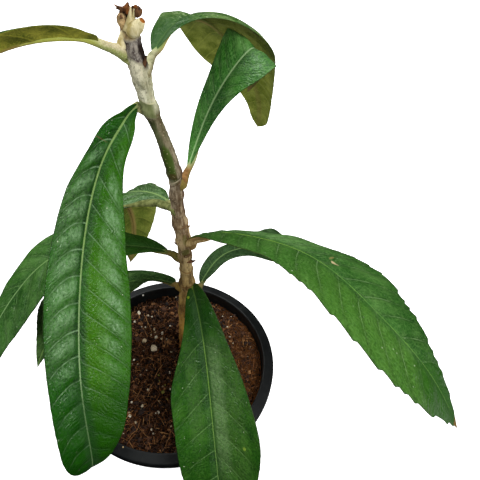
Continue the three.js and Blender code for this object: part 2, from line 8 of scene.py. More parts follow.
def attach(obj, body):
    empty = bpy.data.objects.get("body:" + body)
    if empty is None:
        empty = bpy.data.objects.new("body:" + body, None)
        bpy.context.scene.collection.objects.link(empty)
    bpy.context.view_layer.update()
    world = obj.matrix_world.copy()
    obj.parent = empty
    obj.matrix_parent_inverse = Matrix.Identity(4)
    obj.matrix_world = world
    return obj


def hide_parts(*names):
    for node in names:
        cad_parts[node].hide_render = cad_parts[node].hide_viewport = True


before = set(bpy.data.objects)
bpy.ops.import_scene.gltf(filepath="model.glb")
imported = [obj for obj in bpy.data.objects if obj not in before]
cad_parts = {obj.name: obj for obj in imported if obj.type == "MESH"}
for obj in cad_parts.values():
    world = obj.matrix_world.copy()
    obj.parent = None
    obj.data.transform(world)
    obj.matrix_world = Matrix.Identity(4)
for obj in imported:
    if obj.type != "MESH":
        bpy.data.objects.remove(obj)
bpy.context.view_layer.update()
MM = 0.001

# ---------------------------------------------------------------- camera
right = Vector((0.99994517, 0.00802655, 0.00672553))
up = Vector((-0.01047178, 0.76645098, 0.64221744))
fwd = Vector((0, 0.64225265, -0.76649301))
cam_data = bpy.data.cameras.new("camera")
cam_data.sensor_width = 36
cam_data.lens = 45
cam_data.clip_start = 0.01
cam = bpy.data.objects.new("camera", cam_data)
bpy.context.scene.collection.objects.link(cam)
cam.matrix_world = Matrix((
    (right.x, up.x, -fwd.x, 0.0542),
    (right.y, up.y, -fwd.y, -0.2350),
    (right.z, up.z, -fwd.z, 0.5450),
    (0, 0, 0, 1)))
bpy.context.scene.camera = cam

# ---------------------------------------------------------------- light and floor
bpy.context.scene.view_settings.view_transform = "Standard"
world = bpy.data.worlds.new("studio")
world.use_nodes = True
world.node_tree.nodes["Background"].inputs[0].default_value = (1, 1, 1, 1)
world.node_tree.nodes["Background"].inputs[1].default_value = 0.42
world.cycles_visibility.glossy = False
bpy.context.scene.world = world


def area(name, place, target, size, power, colour=(1, 1, 1)):
    d = bpy.data.lights.new(name, "AREA")
    d.shape = "RECTANGLE"
    d.size, d.size_y = size
    d.energy = power
    d.color = colour
    o = bpy.data.objects.new(name, d)
    bpy.context.scene.collection.objects.link(o)
    o.location = place
    o.rotation_euler = (Vector(target) - Vector(place)).to_track_quat("-Z", "Y").to_euler()
    o.visible_camera = False
    return o


area("softbox_left", (-0.75, 0.95, 1.7), (0, 0, 0.25), (1.0, 1.0), 31)
area("softbox_right", (0.8, -0.7, 1.6), (0, 0, 0.2), (0.9, 0.9), 23)
area("panel_right", (1.08, -0.70, 0.30), (-0.06, 0, 0.26), (0.40, 0.36), 0.3)
area("strip_low_right", (0.58, -0.15, 0.075), (-0.06, -0.03, 0.25), (0.42, 0.12), 0.45)
area("panel_low_left", (-1.10, -0.07, 0.26), (0.0, -0.05, 0.14), (0.45, 0.24), 0.9)


# ---------------------------------------------------------------- helpers: colour, noise, meshes
def lin(r, g, b):
    out = []
    for v in (r, g, b):
        v /= 255.0
        out.append(v / 12.92 if v <= 0.04045 else ((v + 0.055) / 1.055) ** 2.4)
    return (*out, 1.0)


def smooth(a, b, x):
    t = np.clip((x - a) / (b - a), 0, 1)
    return t * t * (3 - 2 * t)


def hermite(xk, yk, x, monotone=False):
    """Cubic interpolation of the columns of yk."""
    xk = np.asarray(xk, float)
    yk = np.asarray(yk, float)
    one = yk.ndim == 1
    if one:
        yk = yk[:, None]
    h = np.diff(xk)
    d = np.diff(yk, axis=0) / h[:, None]
    m = np.zeros_like(yk)
    m[1:-1] = (d[1:] * h[:-1, None] + d[:-1] * h[1:, None]) / (h[:-1] + h[1:])[:, None]
    m[0], m[-1] = d[0], d[-1]
    if monotone:
        flat = (d[1:] * d[:-1]) <= 0
        m[1:-1][flat] = 0
        lim = 3 * np.minimum(np.abs(d[1:]), np.abs(d[:-1]))
        m[1:-1] = np.clip(m[1:-1], -lim, lim)
    i = np.clip(np.searchsorted(xk, x) - 1, 0, len(xk) - 2)
    t = ((x - xk[i]) / h[i])[:, None]
    hh = h[i][:, None]
    out = ((2 * t**3 - 3 * t**2 + 1) * yk[i] + (t**3 - 2 * t**2 + t) * hh * m[i]
           + (-2 * t**3 + 3 * t**2) * yk[i + 1] + (t**3 - t**2) * hh * m[i + 1])
    return out[:, 0] if one else out


def spline(xk, yk, x):
    """Natural cubic spline through the columns of yk."""
    xk = np.asarray(xk, float)
    yk = np.asarray(yk, float)
    one = yk.ndim == 1
    if one:
        yk = yk[:, None]
    n = len(xk)
    h = np.diff(xk)
    A = np.zeros((n, n))
    b = np.zeros_like(yk)
    A[0, 0] = A[-1, -1] = 1
    for i in range(1, n - 1):
        A[i, i - 1:i + 2] = h[i - 1], 2 * (h[i - 1] + h[i]), h[i]
        b[i] = 6 * ((yk[i + 1] - yk[i]) / h[i] - (yk[i] - yk[i - 1]) / h[i - 1])
    m = np.linalg.solve(A, b)
    i = np.clip(np.searchsorted(xk, x) - 1, 0, n - 2)
    hi = h[i][:, None]
    p = (xk[i + 1] - x)[:, None]
    q = (x - xk[i])[:, None]
    out = (m[i] * p**3 + m[i + 1] * q**3) / (6 * hi) + (yk[i] / hi - m[i] * hi / 6) * p + (yk[i + 1] / hi - m[i + 1] * hi / 6) * q
    return out[:, 0] if one else out


class Waves:
    """Smooth seeded noise: a sum of sines in two or three dimensions, about -1 to 1."""

    def __init__(self, seed, wavelength, n=9, dims=2):
        r = np.random.default_rng(seed)
        k = r.normal(size=(n, dims))
        k /= np.linalg.norm(k, axis=1)[:, None]
        self.k = k * (2 * np.pi / (wavelength * r.uniform(0.6, 1.6, size=(n, 1))))
        self.p = r.uniform(0, 2 * np.pi, n)
        self.a = r.uniform(0.5, 1.0, n)
        self.a /= np.sqrt((self.a**2).sum() / 2) * 1.6

    def __call__(self, *xyz):
        out = 0
        for k, p, a in zip(self.k, self.p, self.a):
            out = out + a * np.sin(sum(ki * x for ki, x in zip(k, xyz)) + p)
        return out


def grid_faces(rows, cols, wrap=False, base=0, flip=False):
    i = np.arange(rows - 1)[:, None]
    j = np.arange(cols if wrap else cols - 1)[None, :]
    a = i * cols + j
    b = i * cols + (j + 1) % cols
    q = np.stack([a, b, b + cols, a + cols], -1).reshape(-1, 4) + base
    return q[:, ::-1] if flip else q


def make_mesh(name, verts, faces, mats=(), attrs=None, face_mat=None):
    me = bpy.data.meshes.new(name)
    me.from_pydata(np.asarray(verts, float).tolist(), [], [list(f) for f in faces])
    for m in mats:
        me.materials.append(m)
    if face_mat is not None:
        me.polygons.foreach_set("material_index", np.asarray(face_mat, np.int32))
    for k, v in (attrs or {}).items():
        a = me.attributes.new(k, "FLOAT", "POINT")
        a.data.foreach_set("value", np.asarray(v, np.float32).ravel())
    me.validate()
    me.polygons.foreach_set("use_smooth", np.ones(len(me.polygons), bool))
    me.update()
    o = bpy.data.objects.new(name, me)
    bpy.context.scene.collection.objects.link(o)
    return o


def fan(ring, centre, flip):
    n = len(ring)
    return [[ring[(j + 1) % n], ring[j], centre] if flip else [ring[j], ring[(j + 1) % n], centre] for j in range(n)]


# ---------------------------------------------------------------- helpers: materials
class Mat:
    def __init__(self, name):
        self.mat = bpy.data.materials.new(name)
        self.mat.use_nodes = True
        self.nt = self.mat.node_tree
        self.bsdf = self.nt.nodes["Principled BSDF"]
        self.coord = self.nt.nodes.new("ShaderNodeTexCoord").outputs["Object"]

    def set(self, **kw):
        for k, v in kw.items():
            k = k.replace("_", " ")
            s = self.bsdf.inputs[k]
            if hasattr(v, "is_output"):
                self.nt.links.new(v, s)
            else:
                s.default_value = v
        return self

    def _in(self, socket, v):
        if hasattr(v, "is_output"):
            self.nt.links.new(v, socket)
        else:
            socket.default_value = v

    def attr(self, name):
        n = self.nt.nodes.new("ShaderNodeAttribute")
        n.attribute_name = name
        return n.outputs["Fac"]

    def math(self, op, a, b=0.0, c=None, clamp=False):
        n = self.nt.nodes.new("ShaderNodeMath")
        n.operation = op
        n.use_clamp = clamp
        self._in(n.inputs[0], a)
        self._in(n.inputs[1], b)
        if c is not None:
            self._in(n.inputs[2], c)
        return n.outputs[0]

    def map(self, v, a, b, lo=0.0, hi=1.0, kind="SMOOTHSTEP"):
        n = self.nt.nodes.new("ShaderNodeMapRange")
        n.interpolation_type = kind
        self._in(n.inputs["Value"], v)
        n.inputs["From Min"].default_value = a
        n.inputs["From Max"].default_value = b
        n.inputs["To Min"].default_value = lo
        n.inputs["To Max"].default_value = hi
        return n.outputs["Result"]

    def noise(self, scale, detail=3.0, rough=0.5, distortion=0.0, vector=None, stretch=None, out="Fac"):
        n = self.nt.nodes.new("ShaderNodeTexNoise")
        n.inputs["Scale"].default_value = scale
        n.inputs["Detail"].default_value = detail
        n.inputs["Roughness"].default_value = rough
        n.inputs["Distortion"].default_value = distortion
        v = vector if vector is not None else self.coord
        if stretch is not None:
            mp = self.nt.nodes.new("ShaderNodeMapping")
            mp.inputs["Scale"].default_value = stretch
            self.nt.links.new(v, mp.inputs["Vector"])
            v = mp.outputs[0]
        self.nt.links.new(v, n.inputs["Vector"])
        return n.outputs[out]

    def voronoi(self, scale, feature="F1", rand=1.0, vector=None, out="Distance"):
        n = self.nt.nodes.new("ShaderNodeTexVoronoi")
        n.feature = feature
        n.inputs["Scale"].default_value = scale
        n.inputs["Randomness"].default_value = rand
        self.nt.links.new(vector if vector is not None else self.coord, n.inputs["Vector"])
        return n.outputs[out]

    def mix(self, fac, a, b, blend="MIX"):
        n = self.nt.nodes.new("ShaderNodeMix")
        n.data_type = "RGBA"
        n.blend_type = blend
        self._in(n.inputs[0], fac)
        self._in(n.inputs[6], a)
        self._in(n.inputs[7], b)
        return n.outputs[2]

    def ramp(self, fac, stops):
        n = self.nt.nodes.new("ShaderNodeValToRGB")
        e = n.color_ramp.elements
        while len(e) < len(stops):
            e.new(0.5)
        for el, (p, c) in zip(e, stops):
            el.position = p
            el.color = c
        self._in(n.inputs[0], fac)
        return n.outputs[0]

    def bump(self, height, strength=0.4, distance=0.0005, normal=None):
        n = self.nt.nodes.new("ShaderNodeBump")
        n.inputs["Strength"].default_value = strength
        n.inputs["Distance"].default_value = distance
        self.nt.links.new(height, n.inputs["Height"])
        if normal is not None:
            self.nt.links.new(normal, n.inputs["Normal"])
        return n.outputs[0]

    def vector(self, x, y, z=0.0):
        n = self.nt.nodes.new("ShaderNodeCombineXYZ")
        for s, v in zip(n.inputs, (x, y, z)):
            self._in(s, v)
        return n.outputs[0]

    def z(self):
        n = self.nt.nodes.new("ShaderNodeSeparateXYZ")
        self.nt.links.new(self.coord, n.inputs[0])
        return n.outputs[2]


# ---------------------------------------------------------------- leaf materials
def tone(c, k):
    return tuple(min(255, v * k) for v in c)


def leaf_material(name, st):
    dark, mid, light = st["cols"]
    m = Mat(name)
    ph, yy, uu, tt, side = (m.attr(k) for k in ("ph", "yy", "uu", "tt", "side"))
    flat = m.vector(m.math("MULTIPLY", uu, 0.001), m.math("MULTIPLY", yy, 0.001), m.math("MULTIPLY", side, 0.05))
    streaky = m.vector(m.math("MULTIPLY", uu, 0.0003), m.math("MULTIPLY", yy, 0.001), 0.0)
    big = m.noise(20, 3, 0.55, vector=flat)
    patch = m.noise(85, 4, 0.6, vector=flat)
    ay = m.math("ABSOLUTE", yy)
    # distance from the nearest side vein, 0 on it and 0.5 half-way
    dv = m.math("ABSOLUTE", m.math("SUBTRACT", m.math("FRACT", m.math("ADD", ph, 0.5)), 0.5))
    near = m.map(dv, 0.01, st.get("neark", 0.26), 1, 0)
    broken = m.map(m.noise(140, 3, 0.6, vector=flat), 0.36, 0.60, 0.25, 1.0)
    line = m.math("MULTIPLY", m.math("MULTIPLY", m.map(dv, 0.006, st.get("veinw", 0.034), 1, 0), m.map(tt, *st.get("vfade", (0.45, 0.95, 1, 0.1)))), broken)
    cross = m.voronoi(520, "DISTANCE_TO_EDGE", 1.0, flat)
    net = m.map(cross, 0.02, 0.12, 1, 0)
    streak = m.noise(950, 2, 0.55, vector=streaky)
    c = m.mix(m.map(big, 0.34, 0.68), lin(*dark), lin(*mid))
    c = m.mix(m.math("MULTIPLY", m.map(patch, 0.42, 0.72), 0.6), c, lin(*light))
    if "tint" in st:
        sgn, col, k = st["tint"]
        c = m.mix(m.math("MULTIPLY", m.map(m.math("MULTIPLY", yy, sgn), 0.0, 7.0), k), c, lin(*col))
    # painted shade in the creases along the side veins: the colour is darker close to each vein
    c = m.mix(m.math("MULTIPLY", near, st.get("vein_shade", 0.45)), c, lin(*tone(dark, 0.62)))
    # painted sheen: banded grey-green near the fold, where the blade turns over
    if "sheen" in st:
        u0, u1, col, k = st["sheen"]
        bands = m.math("SINE", m.math("MULTIPLY", m.math("ADD", uu, m.math("MULTIPLY", ay, 0.15)), 2.1))
        sm = m.math("MULTIPLY", m.math("MULTIPLY", m.map(uu, u0, u1), m.map(yy, -2.0, 4.0)), m.map(bands, -1, 1, 0.6, 1.0))
        c = m.mix(m.math("MULTIPLY", sm, k), c, lin(*col))
    fr = m.math("FRACT", ph)
    wrinkle = cell_highlight = None
    if "cell" in st:
        # painted highlight on the upper part of each swelling and beside the midrib on the right half, painted shade in
        # the hollow above the next vein
        u0, u1, u2, u3, col, k, dk = st["cell"]
        up = m.math("MULTIPLY", m.map(fr, 0.03, 0.26), m.map(fr, 0.40, 0.80, 1, 0))
        up = m.math("MULTIPLY", up, m.math("MULTIPLY", m.map(tt, 0.06, 0.26), m.map(tt, 0.62, 0.95, 1, 0)))
        along = m.math("MULTIPLY", m.map(uu, u0, u1), m.map(uu, u2, u3, 1, 0))
        bits = m.math("MULTIPLY", m.map(m.noise(480, 4, 0.72, vector=flat), 0.36, 0.62, 0.2, 1.0), m.map(patch, 0.34, 0.62, 0.35, 1.0))
        left_ = m.map(yy, 0.5, 3.0)
        hollow_shade = m.math("MULTIPLY", m.math("MULTIPLY", m.map(fr, 0.62, 0.93), m.map(tt, 0.25, 0.62, 1, 0.2)), m.map(yy, -2.0, 3.0, 0.5, 1.0))
        right_ = m.math("MULTIPLY", m.map(yy, -10.0, -5.0, 1, 0), m.math("MULTIPLY", m.map(tt, 0.26, 0.5), m.map(tt, 0.70, 0.93, 1, 0)))
        right_ = m.math("MULTIPLY", right_, m.math("MULTIPLY", m.map(fr, 0.15, 0.5), m.map(fr, 0.82, 0.97, 1, 0)))
        c = m.mix(m.math("MULTIPLY", hollow_shade, dk), c, lin(*tone(dark, 0.75)))
        cell_highlight = m.math("MULTIPLY", m.math("MAXIMUM", m.math("MULTIPLY", up, left_), right_), m.math("MULTIPLY", along, bits))
        c = m.mix(m.math("MULTIPLY", cell_highlight, k), c, lin(*col))
    if "wrinkles" in st:
        # fine wrinkles that run beside the side veins; their crests get a painted highlight, stronger inside the
        # painted cell highlight, and their troughs painted shade
        wf, wk, wb, wd, wcol = st["wrinkles"]
        wr = m.math("ADD", m.math("MULTIPLY", ph, wf), m.math("MULTIPLY", m.noise(120, 2, 0.5, vector=flat), 30.0))
        wrinkle = m.math("MULTIPLY", m.math("SINE", wr), m.map(m.noise(190, 3, 0.6, vector=flat), 0.40, 0.62))
        wrinkle_highlight = wb if cell_highlight is None else m.math("ADD", m.math("MULTIPLY", cell_highlight, wk), wb)
        c = m.mix(m.math("MULTIPLY", m.map(wrinkle, 0.1, 0.9), wrinkle_highlight), c, lin(*wcol))
        c = m.mix(m.math("MULTIPLY", m.map(wrinkle, -0.1, -0.9, 0, 1), wd), c, lin(*tone(dark, 0.8)))
    # lighter bands along parts of the blade: mostly painted highlight, such as the pale band beside the midrib of the
    # front leaf
    for b0, b1, b2, b3, y0, y1, y2, y3, col, k in st.get("bands", ()):
        bm = m.math("MULTIPLY", m.math("MULTIPLY", m.map(uu, b0, b1), m.map(uu, b2, b3, 1, 0)),
                    m.math("MULTIPLY", m.map(yy, y0, y1), m.map(yy, y2, y3, 1, 0)))
        bm = m.math("MULTIPLY", bm, m.map(m.noise(480, 4, 0.72, vector=flat), 0.36, 0.62, 0.3, 1.0))
        c = m.mix(m.math("MULTIPLY", bm, k), c, lin(*col))
    c = m.mix(m.math("MULTIPLY", net, 0.16), c, lin(*tone(light, 1.25)))
    c = m.mix(m.math("MULTIPLY", m.map(streak, 0.5, 0.75), 0.26), c, lin(*tone(light, 1.2)))
    micro = m.noise(620, 4, 0.7, vector=flat)
    c = m.mix(m.math("MULTIPLY", m.map(micro, 0.54, 0.70), 0.22), c, lin(*tone(light, 1.35)))
    c = m.mix(m.math("MULTIPLY", m.map(micro, 0.46, 0.34, 0, 1), 0.30), c, lin(*tone(dark, 0.6)))
    c = m.mix(m.math("MULTIPLY", m.math("MULTIPLY", line, m.map(yy, -1.0, 1.0, st.get("veinr", 1.0), 1.0)), st["vein"]), c, lin(*st.get("vcol", (118, 160, 92))))
    # pale strip along the midrib, thinning towards the tip, and a slightly darker margin
    rw = st.get("ribw", 1.0)
    ribline = m.math("DIVIDE", ay, m.map(uu, 0.0, 230.0, 1.2 * rw, 0.6 * rw, "LINEAR"))
    rib = m.map(ribline, 0.35, 1.0, 1, 0)
    rc = m.mix(m.map(uu, 70.0, 150.0, 0, 1), lin(*st["rib"][0]), lin(*st["rib"][1]))
    c = m.mix(m.math("MULTIPLY", rib, st.get("ribk", 0.85)), c, rc)
    c = m.mix(m.map(tt, 0.97, 1.0, 0, 0.5), c, lin(*tone(dark, 0.7)))
    # small pale lint specks
    sp = m.voronoi(210, "F1", 1.0, flat)
    keep = m.noise(130, 2, 0.5, vector=flat)
    speck = m.math("MULTIPLY", m.map(sp, 0.06, 0.12, 1, 0), m.map(keep, 0.55, 0.61))
    sp2 = m.voronoi(520, "F1", 1.0, flat)
    speck = m.math("MAXIMUM", speck, m.math("MULTIPLY", m.map(sp2, 0.07, 0.14, 1, 0), m.map(keep, 0.60, 0.66, 0, 0.7)))
    c = m.mix(m.math("MULTIPLY", m.math("MULTIPLY", speck, m.map(ay, 2.0, 4.5)), st["specks"]), c, lin(196, 210, 176))
    # spots: real marks (brown, tan and yellow spots, a brown tip) and large darker patches; the patch low on the
    # front-left leaf is partly painted shade near the pot, the one at the front leaf's base is painted shade from the
    # stem, and the others darken a base or a tip
    for su, sy, ru, ry, col, k in st.get("spots", ()):
        du = m.math("DIVIDE", m.math("SUBTRACT", uu, su), ru)
        dy = m.math("DIVIDE", m.math("SUBTRACT", yy, sy), ry)
        d2 = m.math("ADD", m.math("MULTIPLY", du, du), m.math("MULTIPLY", dy, dy))
        d2 = m.math("ADD", d2, m.math("MULTIPLY", m.math("SUBTRACT", m.noise(700, 2, 0.6, vector=flat), 0.5), 1.6))
        c = m.mix(m.math("MULTIPLY", m.map(d2, 0.5, 1.3, 1, 0), k), c, lin(*col))
    # felted underside
    under, under_light = st.get("under", (84, 88, 32)), st.get("under_light", (118, 112, 52))
    felt = m.noise(1400, 3, 0.7)
    u = m.mix(m.map(patch, 0.35, 0.7), lin(*under), lin(*under_light))
    u = m.mix(m.math("MULTIPLY", m.map(dv, 0.01, 0.06, 1, 0), 0.45), u, lin(*tone(under_light, 1.22)))
    u = m.mix(m.math("MULTIPLY", near, 0.25), u, lin(*tone(under, 0.8)))
    u = m.mix(m.math("MULTIPLY", net, 0.22), u, lin(*tone(under, 0.7)))
    u = m.mix(m.math("MULTIPLY", m.map(felt, 0.4, 0.7), 0.3), u, lin(*tone(under_light, 1.2)))
    u = m.mix(m.math("MULTIPLY", m.map(ay, 1.0, 2.8, 1, 0), st.get("umid", 0.7)), u, lin(150, 126, 72))
    if "ugrad" in st:
        g0, g1, gk = st["ugrad"]
        u = m.mix(m.map(uu, g0, g1, 1, 0), u, m.mix(gk, u, lin(*tone(under, 0.5))))
    colour = m.mix(side, u, c)
    rough = m.math("ADD", m.math("MULTIPLY", m.noise(90, 3, 0.6, vector=flat), 0.2), st["gloss"] - 0.10)
    rough = m.math("ADD", rough, m.map(ay, 2.5, 6.0, 0.25, 0.0))
    rough = m.math("ADD", m.math("MULTIPLY", side, m.math("SUBTRACT", rough, 0.85)), 0.85)
    h = m.math("ADD", m.math("MULTIPLY", m.map(cross, 0.0, 0.25), 0.7), m.math("MULTIPLY", streak, 1.3))
    h = m.math("ADD", h, m.math("MULTIPLY", m.noise(330, 3, 0.6, vector=flat), 2.2))
    h = m.math("ADD", h, m.math("MULTIPLY", m.math("MULTIPLY", felt, 0.9), m.math("SUBTRACT", 1.0, side)))
    if wrinkle is not None:
        h = m.math("ADD", h, m.math("MULTIPLY", m.math("MULTIPLY", wrinkle, side), 1.1))
    m.set(Base_Color=colour, Roughness=rough, Normal=m.bump(h, st.get("grain", 0.4), 0.00032))
    m.bsdf.inputs["Specular IOR Level"].default_value = st.get("spec", 0.35)
    m.bsdf.inputs["Specular Tint"].default_value = (0.78, 1.0, 0.74, 1)
    return m.mat


def rib_material(name, st):
    """Woolly petiole that turns into the pale midrib where the blade starts (ub = 0)."""
    m = Mat(name)
    side, uu, ub = m.attr("side"), m.attr("uu"), m.attr("ub")
    n = m.noise(260, 4, 0.6)
    wool = m.noise(1500, 3, 0.7)
    top = m.mix(m.map(uu, 70.0, 150.0, 0, 1), lin(*st["rib"][0]), lin(*st["rib"][1]))
    top = m.mix(m.math("MULTIPLY", m.map(n, 0.35, 0.7), 0.35), top, lin(*tone(st["rib"][0], 1.15)))
    ur0, ur1 = st.get("urib", ((150, 124, 70), (140, 118, 62)))
    under = m.mix(m.map(uu, 40.0, 120.0, 0, 1), lin(*ur0), lin(*ur1))
    under = m.mix(m.math("MULTIPLY", m.map(n, 0.35, 0.7), 0.4), under, lin(*tone(ur0, 0.7)))
    c = m.mix(side, under, top)
    p0, p1, p2 = st["pet"]
    pet = m.mix(m.map(n, 0.35, 0.68), lin(*p0), lin(*p1))
    pet = m.mix(m.map(side, 0.15, 0.9, 0.75, 0), pet, lin(*p2))
    c = m.mix(m.map(ub, *st.get("turn", (-6.0, 6.0)), 0, 1), pet, c)
    c = m.mix(m.math("MULTIPLY", m.map(wool, 0.45, 0.7), m.map(ub, -4.0, 6.0, 0.4, 0.1)), c, lin(*tone(p1, 1.2)))
    m.set(Base_Color=c, Roughness=0.75, Normal=m.bump(m.math("ADD", n, wool), 0.5, 0.0004))
    m.bsdf.inputs["Specular IOR Level"].default_value = 0.25
    return m.mat


